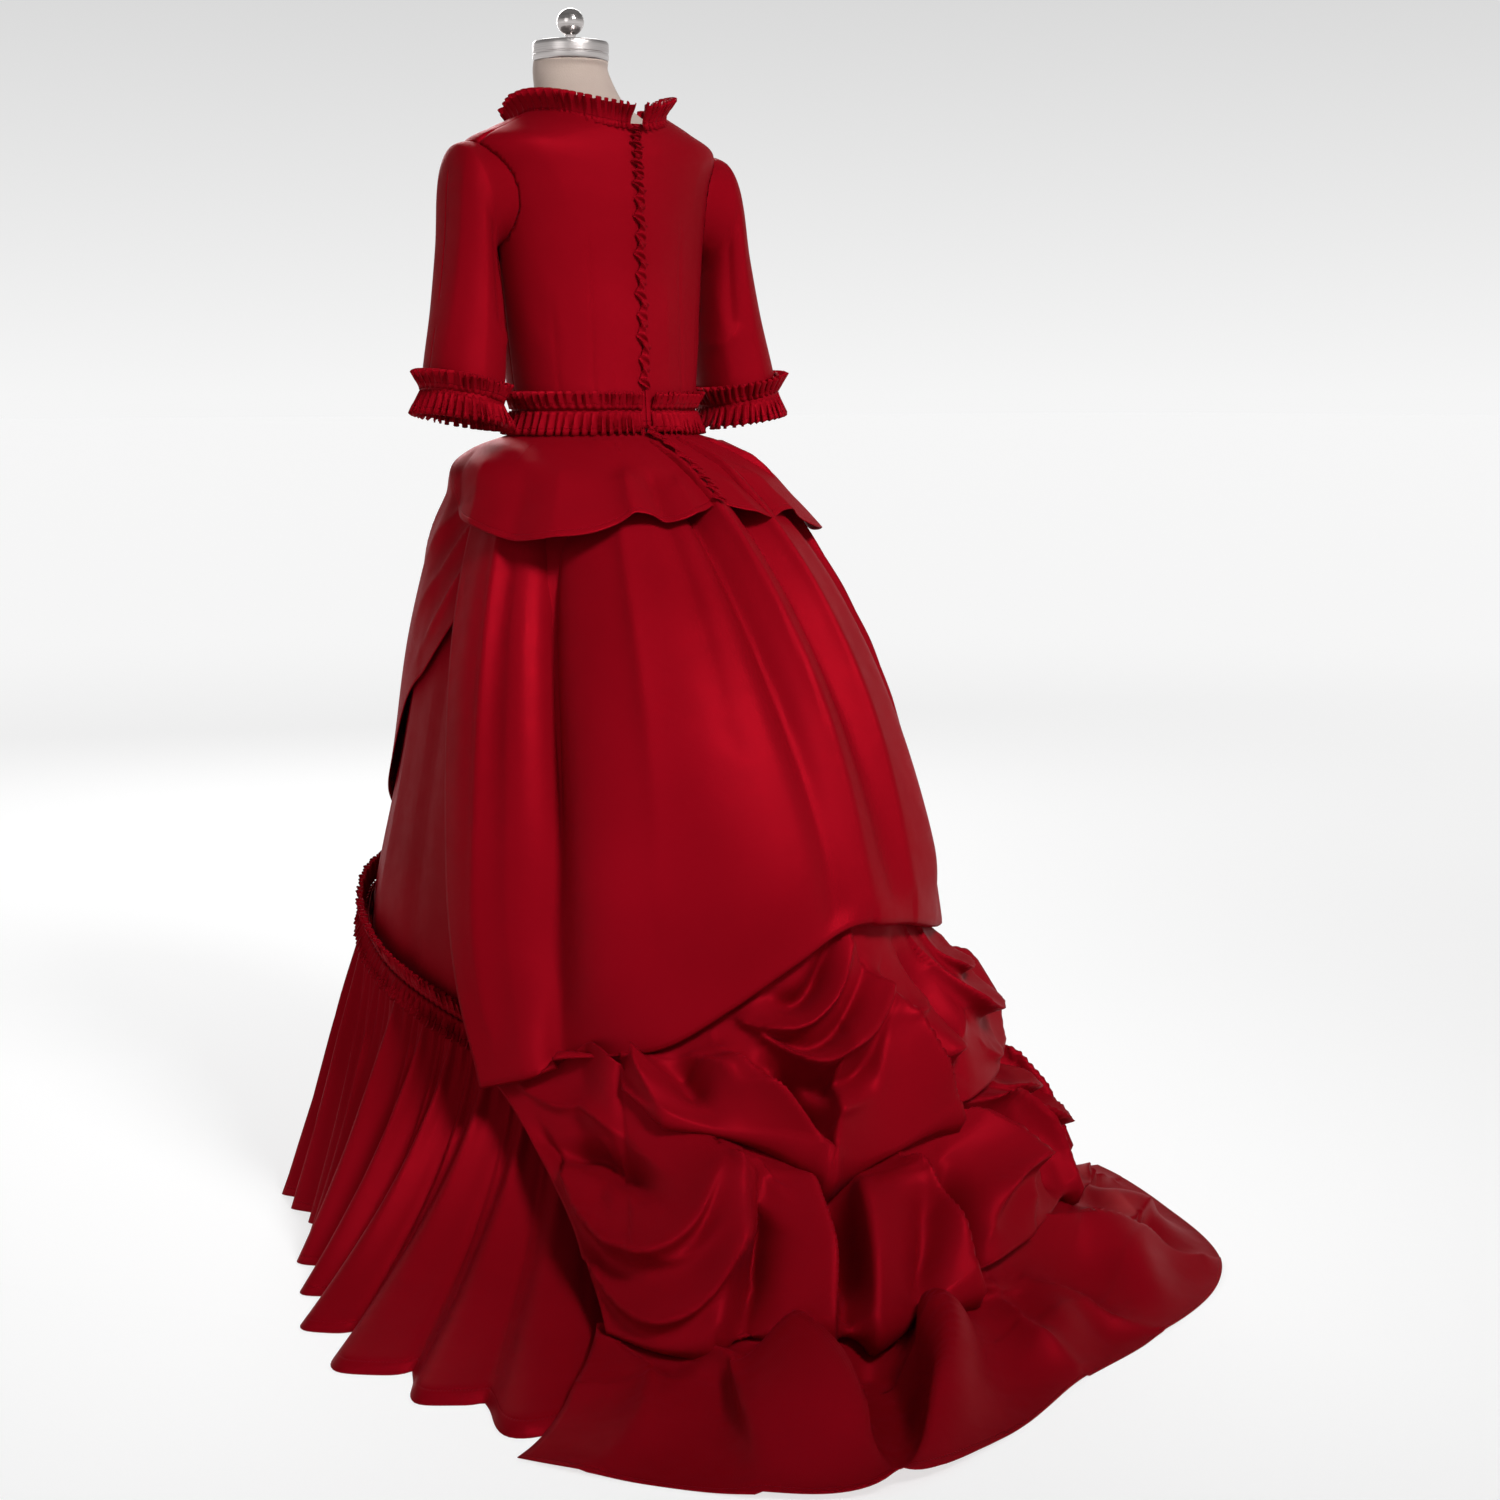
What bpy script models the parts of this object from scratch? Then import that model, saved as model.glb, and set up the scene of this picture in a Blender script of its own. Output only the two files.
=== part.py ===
"""A trained bustle dress standing on the limbless dress form it is shown on.

Metres, +Z up. The pole of the form is the Z axis and its base stands at Z = 0.
The back of the dress faces +Y and the wearer's left is +X. A bearing is counted
in degrees from the back (+Y) towards the wearer's left (+X).
"""
import math
from collections import namedtuple

import bmesh
import bpy
import numpy as np

COLLECTION = "bustle_dress_on_form"

CLOTH = 0.0015          # wall of every cut piece
SEAM = 0.0004           # daylight kept between two pieces that are sewn together
HALF_TURN = 180.0
FULL_TURN = 360.0
ROUND_STEPS = 32        # facets round a turned piece of the form

RED = (0.262, 0.006, 0.011, 1.0)
COVER = (0.60, 0.48, 0.41, 1.0)
STEEL = (0.62, 0.62, 0.63, 1.0)

# Body sections from waist to neckline. half_width is reached at side_y; each
# section may tilt, so its height is given at the back, the side and the front.
Section = namedtuple("Section", "half_width back_y side_y front_y z_back z_side z_front")
BODICE = (
    Section(0.130, 0.112, 0.010, -0.085, 1.056, 1.056, 1.056),
    Section(0.136, 0.107, 0.004, -0.097, 1.110, 1.110, 1.110),
    Section(0.145, 0.102, -0.004, -0.116, 1.180, 1.180, 1.180),
    Section(0.154, 0.098, -0.010, -0.138, 1.250, 1.250, 1.250),
    Section(0.162, 0.097, -0.014, -0.137, 1.315, 1.315, 1.312),
    Section(0.176, 0.094, -0.020, -0.130, 1.370, 1.380, 1.360),
    Section(0.188, 0.091, -0.026, -0.124, 1.403, 1.426, 1.385),
    Section(0.148, 0.088, -0.030, -0.119, 1.432, 1.450, 1.404),
    Section(0.100, 0.085, -0.034, -0.114, 1.452, 1.472, 1.422),
)
FORM = (
    Section(0.060, 0.045, 0.005, -0.040, 0.775, 0.775, 0.775),
    Section(0.128, 0.090, 0.008, -0.078, 0.785, 0.785, 0.785),
    Section(0.156, 0.113, 0.008, -0.095, 0.825, 0.825, 0.825),
    Section(0.160, 0.117, 0.008, -0.098, 0.880, 0.880, 0.880),
    Section(0.148, 0.108, 0.010, -0.090, 0.960, 0.960, 0.960),
    Section(0.1165, 0.0980, 0.010, -0.0736, 1.045, 1.045, 1.045),
    Section(0.126, 0.088, -0.004, -0.104, 1.160, 1.160, 1.160),
    Section(0.136, 0.086, -0.010, -0.1344, 1.260, 1.260, 1.260),
    Section(0.138, 0.083, -0.016, -0.118, 1.350, 1.350, 1.340),
    Section(0.138, 0.078, -0.026, -0.110, 1.395, 1.408, 1.375),
    Section(0.112, 0.072, -0.030, -0.105, 1.424, 1.440, 1.398),
    Section(0.078, 0.052, -0.034, -0.103, 1.452, 1.470, 1.428),
    Section(0.058, 0.016, -0.050, -0.110, 1.484, 1.494, 1.474),
    Section(0.052, -0.018, -0.068, -0.118, 1.530, 1.530, 1.530),
)

# Radius of the outer skirt at each height, by bearing.
Level = namedtuple("Level", "height back b30 b60 side b120 b150 front")
OVERSKIRT = (
    Level(1.049, 0.109, 0.114, 0.124, 0.127, 0.108, 0.089, 0.082),
    Level(1.036, 0.140, 0.146, 0.158, 0.164, 0.148, 0.120, 0.108),
    Level(1.020, 0.174, 0.178, 0.186, 0.190, 0.180, 0.155, 0.140),
    Level(0.960, 0.262, 0.250, 0.230, 0.216, 0.210, 0.198, 0.188),
    Level(0.880, 0.350, 0.318, 0.275, 0.248, 0.238, 0.222, 0.212),
    Level(0.800, 0.415, 0.370, 0.312, 0.275, 0.260, 0.242, 0.232),
    Level(0.700, 0.480, 0.420, 0.348, 0.300, 0.280, 0.260, 0.250),
    Level(0.600, 0.528, 0.458, 0.376, 0.320, 0.296, 0.276, 0.267),
    Level(0.500, 0.565, 0.486, 0.398, 0.340, 0.314, 0.294, 0.285),
    Level(0.420, 0.585, 0.496, 0.412, 0.356, 0.330, 0.310, 0.300),
    Level(0.320, 0.600, 0.508, 0.432, 0.380, 0.350, 0.328, 0.318),
    Level(0.240, 0.610, 0.520, 0.455, 0.400, 0.368, 0.345, 0.335),
)
UNDERSKIRT = (
    Level(1.043, 0.102, 0.107, 0.117, 0.120, 0.101, 0.083, 0.077),
    Level(1.026, 0.140, 0.144, 0.152, 0.158, 0.146, 0.122, 0.112),
    Level(1.005, 0.172, 0.172, 0.176, 0.180, 0.172, 0.152, 0.140),
    Level(0.950, 0.240, 0.232, 0.212, 0.202, 0.196, 0.184, 0.174),
    Level(0.800, 0.385, 0.344, 0.292, 0.256, 0.243, 0.225, 0.215),
    Level(0.600, 0.488, 0.424, 0.350, 0.298, 0.279, 0.259, 0.250),
    Level(0.440, 0.495, 0.432, 0.368, 0.330, 0.313, 0.295, 0.286),
    Level(0.250, 0.490, 0.432, 0.378, 0.352, 0.338, 0.322, 0.314),
)

SHELF_HEIGHTS = (1.034, 1.010, 0.965)   # rows every skirt shares over the hip shelf

# Edge of the back drape: where it stops sideways at each height.
DrapeEdge = namedtuple("DrapeEdge", "height left right")
DRAPE_EDGES = (
    DrapeEdge(1.049, 84.0, -84.0),
    DrapeEdge(0.935, 80.0, -80.0),
    DrapeEdge(0.750, 72.0, -72.0),
    DrapeEdge(0.590, 66.0, -66.0),
    DrapeEdge(0.430, 61.0, -60.0),
    DrapeEdge(0.250, 52.0, -56.0),
)
# Lower fold of the back drape: it dips to a corner at the left and is tacked up
# behind, so the height rises to the tack and stays high at the right.
DrapeFold = namedtuple("DrapeFold", "bearing height")
DRAPE_FOLD = (
    DrapeFold(-61.0, 0.375),
    DrapeFold(-41.0, 0.398),
    DrapeFold(-22.0, 0.428),
    DrapeFold(-8.0, 0.456),
    DrapeFold(1.0, 0.462),
    DrapeFold(9.0, 0.420),
    DrapeFold(17.0, 0.370),
    DrapeFold(24.0, 0.330),
    DrapeFold(33.0, 0.304),
    DrapeFold(42.0, 0.284),
    DrapeFold(54.0, 0.256),
)
# Pleats falling from the waist of the back drape; a positive depth is a ridge.
Pleat = namedtuple("Pleat", "top_bearing low_bearing top_width low_width depth")
BACK_PLEATS = (
    Pleat(68.0, 56.0, 5.0, 5.0, 0.007),
    Pleat(58.0, 47.0, 5.0, 6.0, -0.012),
    Pleat(44.0, 36.0, 7.0, 7.0, 0.012),
    Pleat(27.0, 23.0, 6.0, 6.0, -0.006),
    Pleat(10.0, 10.0, 8.0, 9.0, 0.010),
    Pleat(-10.0, -8.0, 6.0, 6.0, -0.008),
    Pleat(-27.0, -22.0, 7.0, 7.0, 0.011),
    Pleat(-45.0, -36.0, 6.0, 6.0, -0.011),
    Pleat(-62.0, -50.0, 6.0, 6.0, 0.009),
)
# A swag starts inside the fold above it, swells outwards and turns under at its
# own lower fold, given here by bearing.
Swag = namedtuple("Swag", "bearing low_r low_z swell")
UPPER_SWAG = (
    Swag(31.0, 0.545, 0.284, 0.002),
    Swag(27.0, 0.590, 0.262, 0.006),
    Swag(21.0, 0.622, 0.246, 0.010),
    Swag(15.0, 0.640, 0.230, 0.014),
    Swag(9.0, 0.658, 0.200, 0.018),
    Swag(3.0, 0.660, 0.204, 0.020),
    Swag(-5.0, 0.648, 0.226, 0.020),
    Swag(-14.0, 0.628, 0.236, 0.020),
    Swag(-26.0, 0.592, 0.240, 0.018),
    Swag(-40.0, 0.525, 0.250, 0.014),
    Swag(-56.0, 0.466, 0.252, 0.006),
)
LOWER_SWAG = (
    Swag(33.0, 0.748, 0.056, 0.004),
    Swag(29.0, 0.788, 0.050, 0.010),
    Swag(25.0, 0.798, 0.052, 0.014),
    Swag(20.5, 0.800, 0.062, 0.018),
    Swag(16.0, 0.804, 0.060, 0.020),
    Swag(11.0, 0.812, 0.054, 0.020),
    Swag(6.5, 0.808, 0.064, 0.020),
    Swag(1.0, 0.790, 0.080, 0.020),
    Swag(-12.0, 0.745, 0.100, 0.020),
    Swag(-27.0, 0.680, 0.106, 0.018),
    Swag(-42.0, 0.598, 0.122, 0.014),
    Swag(-56.0, 0.530, 0.140, 0.006),
)
SWAG_MERGE = 5.0            # bearings over which the lower swag passes behind the upper
LIP = 0.022                 # depth of cloth turned under at a lower fold
UPPER_TUCK = (0.0038, 0.0030)    # how far in from the lip above, and up, a tier starts
LOWER_TUCK = (0.0045, 0.0010)
TRAIN_TUCK = (0.0064, -0.0015)
UPPER_SWAG_CORNER = 31.0    # bearing of each swag's left corner, up inside the fold above
LOWER_SWAG_CORNER = 52.0
SWAG_RIPPLES = 6
SWAG_RIPPLE_DEPTH = 0.016

# The train leaves the lower swag, runs down and lies on the floor to its edge.
Train = namedtuple("Train", "bearing knee_r knee_z edge_r")
TRAIN = (
    Train(34.0, 0.840, 0.030, 0.975),
    Train(28.0, 0.850, 0.016, 1.046),
    Train(18.0, 0.865, 0.014, 1.120),
    Train(9.0, 0.865, 0.014, 1.040),
    Train(0.0, 0.860, 0.014, 0.955),
    Train(-10.0, 0.840, 0.014, 0.920),
    Train(-28.0, 0.770, 0.014, 0.880),
    Train(-43.0, 0.670, 0.016, 0.775),
    Train(-56.0, 0.620, 0.022, 0.708),
)
TRAIN_SPREAD = 5.0          # the right edge fans out this far on its way down
FLOOR_GAP = 0.0006
# Long soft folds lying on the train, each along its own bearing.
TrainFold = namedtuple("TrainFold", "top_bearing edge_bearing width height")
TRAIN_FOLDS = (
    TrainFold(24.0, 30.0, 2.6, 0.030),
    TrainFold(15.0, 21.0, 3.0, 0.038),
    TrainFold(4.0, 12.0, 3.0, 0.042),
    TrainFold(-8.0, -2.0, 3.4, 0.034),
    TrainFold(-22.0, -16.0, 4.0, 0.036),
    TrainFold(-38.0, -34.0, 4.5, 0.034),
    TrainFold(-52.0, -54.0, 4.0, 0.026),
)

Flounce = namedtuple("Flounce", "bearing head_z hem_r")
FLOUNCE = (
    Flounce(-180.0, 0.452, 0.420),
    Flounce(-150.0, 0.448, 0.425),
    Flounce(-120.0, 0.430, 0.435),
    Flounce(-95.0, 0.385, 0.462),
    Flounce(-75.0, 0.345, 0.525),
    Flounce(-62.0, 0.325, 0.585),
    Flounce(-50.0, 0.305, 0.620),
    Flounce(-30.0, 0.280, 0.690),
    Flounce(0.0, 0.262, 0.745),
    Flounce(25.0, 0.272, 0.735),
    Flounce(33.0, 0.280, 0.800),
    Flounce(37.0, 0.284, 0.915),
    Flounce(43.0, 0.290, 0.855),
    Flounce(52.0, 0.302, 0.780),
    Flounce(62.0, 0.320, 0.685),
    Flounce(73.0, 0.340, 0.555),
    Flounce(92.0, 0.372, 0.462),
    Flounce(107.0, 0.400, 0.438),
    Flounce(120.0, 0.425, 0.432),
    Flounce(150.0, 0.448, 0.425),
    Flounce(180.0, 0.452, 0.420),
)
FLOUNCE_STANDOFF = 0.0037
FLOUNCE_CURVE = 1.2         # how late the flounce kicks out towards its hem
FLOUNCE_SWEEP = 2.4         # and how much later where its hem sweeps far out
FLOUNCE_FLUTE = 0.018
FLOUNCE_COLUMNS = 56

ApronHem = namedtuple("ApronHem", "bearing height")
APRON_HEM = (
    ApronHem(68.0, 0.880),
    ApronHem(76.0, 0.822),
    ApronHem(88.0, 0.752),
    ApronHem(103.0, 0.690),
    ApronHem(112.0, 0.615),
    ApronHem(130.0, 0.540),
    ApronHem(155.0, 0.490),
    ApronHem(180.0, 0.475),
)
APRON_EDGE = 74.0           # bearing where the apron slips under the back drape
APRON_INSET = 0.011         # the apron lies this far inside the back drape
APRON_ROWS = 6
DRAPE_ROWS = 8
UNDERSKIRT_ROWS = 5
APRON_TUCK = 0.0042         # and this far inside it along the waist

PeplumHem = namedtuple("PeplumHem", "bearing height flare")
PEPLUM_HEM = (
    PeplumHem(1.5, 0.962, 0.012),
    PeplumHem(12.0, 0.946, 0.020),
    PeplumHem(24.0, 0.944, 0.014),
    PeplumHem(38.0, 0.926, 0.022),
    PeplumHem(52.0, 0.920, 0.026),
    PeplumHem(70.0, 0.932, 0.022),
    PeplumHem(84.0, 0.950, 0.012),
    PeplumHem(96.0, 0.985, 0.005),
)
PEPLUM_FRONT_TOP = 118.0    # bearing of the front edge at the waist
PEPLUM_FRONT_HEM = 96.0     # bearing of the front edge at the hem
PEPLUM_TOP_Z = 1.0552

# A sleeve ring is an ellipse between its outer and its inner (underarm) point.
Ring = namedtuple("Ring", "outer_x outer_z inner_x inner_z centre_y half_depth")
SLEEVE = (
    Ring(0.172, 1.4260, 0.152, 1.2880, -0.022, 0.0598),
    Ring(0.196, 1.4250, 0.166, 1.2890, -0.022, 0.0590),
    Ring(0.213, 1.408, 0.169, 1.270, -0.018, 0.058),
    Ring(0.224, 1.370, 0.166, 1.250, -0.014, 0.057),
    Ring(0.232, 1.300, 0.164, 1.205, -0.008, 0.057),
    Ring(0.246, 1.220, 0.164, 1.160, -0.001, 0.059),
    Ring(0.263, 1.150, 0.168, 1.110, 0.006, 0.061),
    Ring(0.274, 1.094, 0.174, 1.076, 0.012, 0.063),
)
SLEEVE_COLUMNS = 16
ARMHOLE_Y = -0.022
ARMHOLE_Z = 1.357
ARMHOLE_DEPTH = 0.1208      # full width of the armhole front to back
ARMHOLE_HEIGHT = 0.1398
ARMHOLE_INNER_X = 0.120
ARMHOLE_OUTER_X = 0.260

FRILL_RISE = 0.024
FRILL_FLARE = 0.012
FRILL_WAVE = 0.004
NECK_RISE = 0.023
NECK_GAP = 5.0              # bearing either side of the centre back
WAIST_LINE = 1.080
HEADING_DROP = 0.020
HEADING_END = 56.0          # bearing where the heading runs in under the back drape

CLOSURE_WIDTH = 0.016
CLOSURE_TWIST = 0.0018
CLOSURE_STANDOFF = 0.0022

POLE_RADIUS = 0.0125
BASE_RADIUS = 0.170
BASE_THICK = 0.010
CAP_RADIUS = 0.0515
CAP_BOTTOM = 1.5304
CAP_TOP = 1.572
CAP_EASE = 0.004
CAP_Y = -0.068
STEM_RADIUS = 0.007
KNOB_RADIUS = 0.0185
KNOB_Z = 1.598


def between(knots, values, x):
    """Smooth value at x through a table, flat beyond both ends."""
    knots = np.asarray(knots, dtype=float)
    values = np.asarray(values, dtype=float)
    if knots[0] > knots[-1]:
        knots = knots[::-1]
        values = values[::-1]
    x = min(max(x, knots[0]), knots[-1])
    slopes = np.gradient(values, knots)
    i = min(int(np.searchsorted(knots, x, side="right")) - 1, len(knots) - 2)
    span = knots[i + 1] - knots[i]
    s = (x - knots[i]) / span
    rise = 2 * s**3 - 3 * s**2
    lean_in = s**3 - 2 * s**2 + s
    lean_out = s**3 - s**2
    ends = (1 + rise) * values[i] - rise * values[i + 1]
    return float(ends + span * (lean_in * slopes[i] + lean_out * slopes[i + 1]))


def column(table, name):
    return [getattr(row, name) for row in table]


def ease(s):
    s = min(max(s, 0.0), 1.0)
    return s * s * (3.0 - 2.0 * s)


def polar(bearing, radius, z):
    turn = math.radians(bearing)
    return (radius * math.sin(turn), radius * math.cos(turn), z)


def fold_bearing(bearing):
    """The same bearing on the wearer's left, 0 at the back to 180 at the front."""
    bearing = abs(bearing) % FULL_TURN
    return min(bearing, FULL_TURN - bearing)


def skirt_radius(levels, bearing, z):
    rows = [(lv.height, between((0, 30, 60, 90, 120, 150, 180), lv[1:], fold_bearing(bearing)))
            for lv in levels]
    return between([row[0] for row in rows], [row[1] for row in rows], z)


def section_radius(section, bearing):
    """Distance from the pole to an oval section along a bearing."""
    turn = math.radians(bearing)
    for end in (section.back_y, section.front_y):
        depth = abs(end - section.side_y)
        a = (math.sin(turn) / section.half_width) ** 2 + (math.cos(turn) / depth) ** 2
        b = -2.0 * math.cos(turn) * section.side_y / depth**2
        c = (section.side_y / depth) ** 2 - 1.0
        radius = (-b + math.sqrt(b * b - 4.0 * a * c)) / (2.0 * a)
        beyond = radius * math.cos(turn) - section.side_y
        if beyond * (end - section.side_y) >= 0.0:
            return radius
    return section.half_width


def section_height(section, bearing):
    facing = math.cos(math.radians(bearing))
    end = section.z_back if facing > 0.0 else section.z_front
    return section.z_side + (end - section.z_side) * facing**2


def body_point(table, bearing, t, out=0.0):
    """Point on a body at t from 0 (lowest section) to 1 (highest)."""
    steps = np.arange(len(table))
    at = t * (len(table) - 1)
    radius = between(steps, [section_radius(row, bearing) for row in table], at)
    z = between(steps, [section_height(row, bearing) for row in table], at)
    return polar(bearing, radius + out, z)


def form_point(u, t):
    """Point on the form; its sections are ovals about their own centres."""
    turn = 2.0 * math.pi * (0.5 - u)
    steps = np.arange(len(FORM))
    at = (1.0 - t) * (len(FORM) - 1)
    half = between(steps, column(FORM, "half_width"), at)
    side_y = between(steps, column(FORM, "side_y"), at)
    end_name = "back_y" if math.cos(turn) > 0.0 else "front_y"
    end_y = between(steps, column(FORM, end_name), at)
    z = between(steps, [section_height(row, math.degrees(turn)) for row in FORM], at)
    return (half * math.sin(turn), side_y + abs(end_y - side_y) * math.cos(turn), z)


def wave(columns, u):
    return math.cos(math.pi * columns * u)


def bump(distance, width):
    return math.exp(-((distance / width) ** 2))


def pleat_depth(bearing, z):
    """Total of the back drape's pleats; they grow out of the waist."""
    down = ease((1.0 - z) / 0.7)
    total = 0.0
    for pleat in BACK_PLEATS:
        centre = pleat.top_bearing + (pleat.low_bearing - pleat.top_bearing) * down
        width = pleat.top_width + (pleat.low_width - pleat.top_width) * down
        total += pleat.depth * bump(bearing - centre, width)
    low = between(column(DRAPE_FOLD, "bearing"), column(DRAPE_FOLD, "height"), bearing)
    return total * ease((1.02 - z) / 0.12) * ease((z - low) / 0.10)


def skirt_height(top, low, t, rows):
    """Height of a skirt's row: the shared shelf rows first, then even steps."""
    knots = [top, *SHELF_HEIGHTS, low]
    marks = [i / rows for i in range(len(knots) - 1)] + [1.0]
    return float(np.interp(t, marks, knots))


def back_drape_point(u, t):
    top = OVERSKIRT[0].height
    body = (DRAPE_ROWS - 1) / DRAPE_ROWS      # the last row is the turned-under lip
    down = min(t / body, 1.0)
    heights = column(DRAPE_EDGES, "height")
    bearing = 0.0
    z = top
    for _ in range(4):
        left = between(heights, column(DRAPE_EDGES, "left"), z)
        right = between(heights, column(DRAPE_EDGES, "right"), z)
        bearing = left + (right - left) * u
        fold = between(column(DRAPE_FOLD, "bearing"), column(DRAPE_FOLD, "height"), bearing)
        z = skirt_height(top, fold, down, DRAPE_ROWS - 1)
    radius = skirt_radius(OVERSKIRT, bearing, z) + pleat_depth(bearing, z)
    tuck = max(0.0, (t - body) / (1.0 - body))
    return polar(bearing, radius - LIP * tuck, z - 0.004 * math.sin(math.pi * tuck))


def drape_fold(bearing):
    """Radius and height of the back drape's lower fold."""
    z = between(column(DRAPE_FOLD, "bearing"), column(DRAPE_FOLD, "height"), bearing)
    return skirt_radius(OVERSKIRT, bearing, z), z


def swag_fold(table):
    def fold(bearing):
        bearings = column(table, "bearing")
        low_r = between(bearings, column(table, "low_r"), bearing)
        return low_r, between(bearings, column(table, "low_z"), bearing)

    return fold


def fold_over_lower(bearing):
    """What the lower swag hangs from: the upper swag, or the back drape beside it."""
    drape_r, drape_z = drape_fold(bearing)
    swag_r, swag_z = swag_fold(UPPER_SWAG)(bearing)
    share = ease((bearing - UPPER_SWAG[0].bearing - 0.5) / SWAG_MERGE)
    return swag_r + (drape_r - swag_r) * share, swag_z + (drape_z - swag_z) * share


def swag_point(table, fold_above, phase, tuck_in, corner):
    """A tier that starts tuck_in (gap inwards, height) from the fold above it."""
    bearings = column(table, "bearing")

    def place(u, t):
        left = bearings[0] + (corner - bearings[0]) * (1.0 - t) ** 1.6
        bearing = left + (bearings[-1] - left) * u
        above_r, above_z = fold_above(bearing)
        top_r = above_r - LIP - tuck_in[0]
        top_z = above_z + tuck_in[1]
        low_r, low_z = swag_fold(table)(bearing)
        swell = between(bearings, column(table, "swell"), bearing)
        body = 0.84
        down = min(t / body, 1.0)
        tuck = max(0.0, (t - body) / (1.0 - body))
        ripple = SWAG_RIPPLE_DEPTH * math.sin(2.0 * math.pi * SWAG_RIPPLES * u + phase + 2.4 * t)
        ripple *= ease(down * 1.4 - 0.2) * ease(6.0 * u) * ease(6.0 * (1.0 - u))
        ripple *= 1.0 - ease(4.0 * down - 3.0)
        out = swell * math.sin(math.pi * down**1.5) + ripple
        radius = top_r + (low_r - top_r) * down**1.6 + 0.8 * out
        z = top_z + (low_z - top_z) * down + 0.5 * out * ease(3.0 * down - 0.4)
        return polar(bearing, radius - LIP * tuck, z - 0.003 * math.sin(math.pi * tuck))

    return place


def train_point(u, t):
    bearings = column(TRAIN, "bearing")
    bearing = bearings[0] + (bearings[-1] - bearings[0]) * u
    fan = TRAIN_SPREAD * t * u**3
    above_r, above_z = swag_fold(LOWER_SWAG)(bearing)
    top_r = above_r - LIP - TRAIN_TUCK[0]
    top_z = above_z + TRAIN_TUCK[1]
    knee_r = between(bearings, column(TRAIN, "knee_r"), bearing)
    knee_z = between(bearings, column(TRAIN, "knee_z"), bearing)
    edge_r = between(bearings, column(TRAIN, "edge_r"), bearing)
    slope = 0.5                       # share of the rows that hang clear of the floor
    if t < slope:
        s = t / slope
        radius = top_r + (knee_r - top_r) * s**1.3
        z = knee_z + (top_z - knee_z) * (1.0 - s) ** 1.5
    else:
        s = (t - slope) / (1.0 - slope)
        radius = knee_r + (edge_r - knee_r) * s
        z = knee_z * (1.0 - s) ** 2
    lift = 0.0
    for fold in TRAIN_FOLDS:
        centre = fold.top_bearing + (fold.edge_bearing - fold.top_bearing) * t
        lift += fold.height * bump(bearing - centre, fold.width)
    inside = ease(7.0 * u) * ease(7.0 * (1.0 - u))
    lift *= ease(t * 2.2 - 0.2) * (1.0 - ease((t - 0.55) / 0.45)) * inside
    return polar(bearing - fan, radius, z + lift + CLOTH + FLOOR_GAP)


def underskirt_point(u, t):
    bearing = HALF_TURN - FULL_TURN * u
    bearings = column(FLOUNCE, "bearing")
    low = between(bearings, column(FLOUNCE, "head_z"), bearing) - HEADING_DROP
    z = skirt_height(UNDERSKIRT[0].height, low, t, UNDERSKIRT_ROWS)
    return polar(bearing, skirt_radius(UNDERSKIRT, bearing, z), z)


def heading_line(bearing):
    """Radius and height of the flounce's gathered top on the underskirt."""
    z = between(column(FLOUNCE, "bearing"), column(FLOUNCE, "head_z"), bearing)
    return skirt_radius(UNDERSKIRT, bearing, z), z


def flounce_point(u, t):
    bearing = HALF_TURN - FULL_TURN * u
    head_r, head_z = heading_line(bearing)
    hem_r = between(column(FLOUNCE, "bearing"), column(FLOUNCE, "hem_r"), bearing)
    head_r += FLOUNCE_STANDOFF
    hem_z = CLOTH + FLOOR_GAP
    late = FLOUNCE_CURVE + FLOUNCE_SWEEP * (hem_r - head_r)
    radius = head_r + (hem_r - head_r) * t**late
    z = head_z + (hem_z - head_z) * t
    return polar(bearing, radius + FLOUNCE_FLUTE * t * wave(FLOUNCE_COLUMNS, u), z)


def apron_point(u, t):
    bearing = APRON_EDGE + (FULL_TURN - 2.0 * APRON_EDGE) * u
    side = fold_bearing(bearing)
    top = OVERSKIRT[0].height
    hem = between(column(APRON_HEM, "bearing"), column(APRON_HEM, "height"), side)
    z = skirt_height(top, hem, t, APRON_ROWS)
    inset = APRON_TUCK + (APRON_INSET - APRON_TUCK) * ease((top - z) / 0.03)
    radius = skirt_radius(OVERSKIRT, side, z) - inset * (1.0 - ease((side - 92.0) / 12.0))
    fold = 0.0035 * math.sin(math.radians(side) * 9.0 + 14.0 * z)
    return polar(bearing, radius + fold * ease(3.0 * t - 0.5), z)


def peplum_point(side):
    def place(u, t):
        front = PEPLUM_FRONT_TOP + (PEPLUM_FRONT_HEM - PEPLUM_FRONT_TOP) * t
        inner = PEPLUM_HEM[0].bearing
        bearing = front + (inner - front) * u
        hems = column(PEPLUM_HEM, "bearing")
        low = between(hems, column(PEPLUM_HEM, "height"), bearing)
        flare = between(hems, column(PEPLUM_HEM, "flare"), bearing)
        z = PEPLUM_TOP_Z + (low - PEPLUM_TOP_Z) * t
        waist = section_radius(BODICE[0], bearing)
        under = skirt_radius(OVERSKIRT, bearing, z) + 0.006
        radius = waist + (under + flare * t - waist) * ease(t * 9.0)
        return polar(side * bearing, radius, z)

    return place


def sleeve_point(side, out=0.0):
    steps = np.arange(len(SLEEVE))

    def place(u, t):
        at = t * (len(SLEEVE) - 1)
        ring = Ring(*[between(steps, column(SLEEVE, name), at) for name in Ring._fields])
        turn = 2.0 * math.pi * u
        across = math.hypot(ring.outer_x - ring.inner_x, ring.outer_z - ring.inner_z)
        grow = 1.0 + 2.0 * out / across
        share = 0.5 + 0.5 * grow * math.cos(turn)
        x = ring.inner_x + (ring.outer_x - ring.inner_x) * share
        z = ring.inner_z + (ring.outer_z - ring.inner_z) * share
        y = ring.centre_y + (ring.half_depth + out) * math.sin(turn)
        return (side * x, y, z)

    return place


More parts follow.
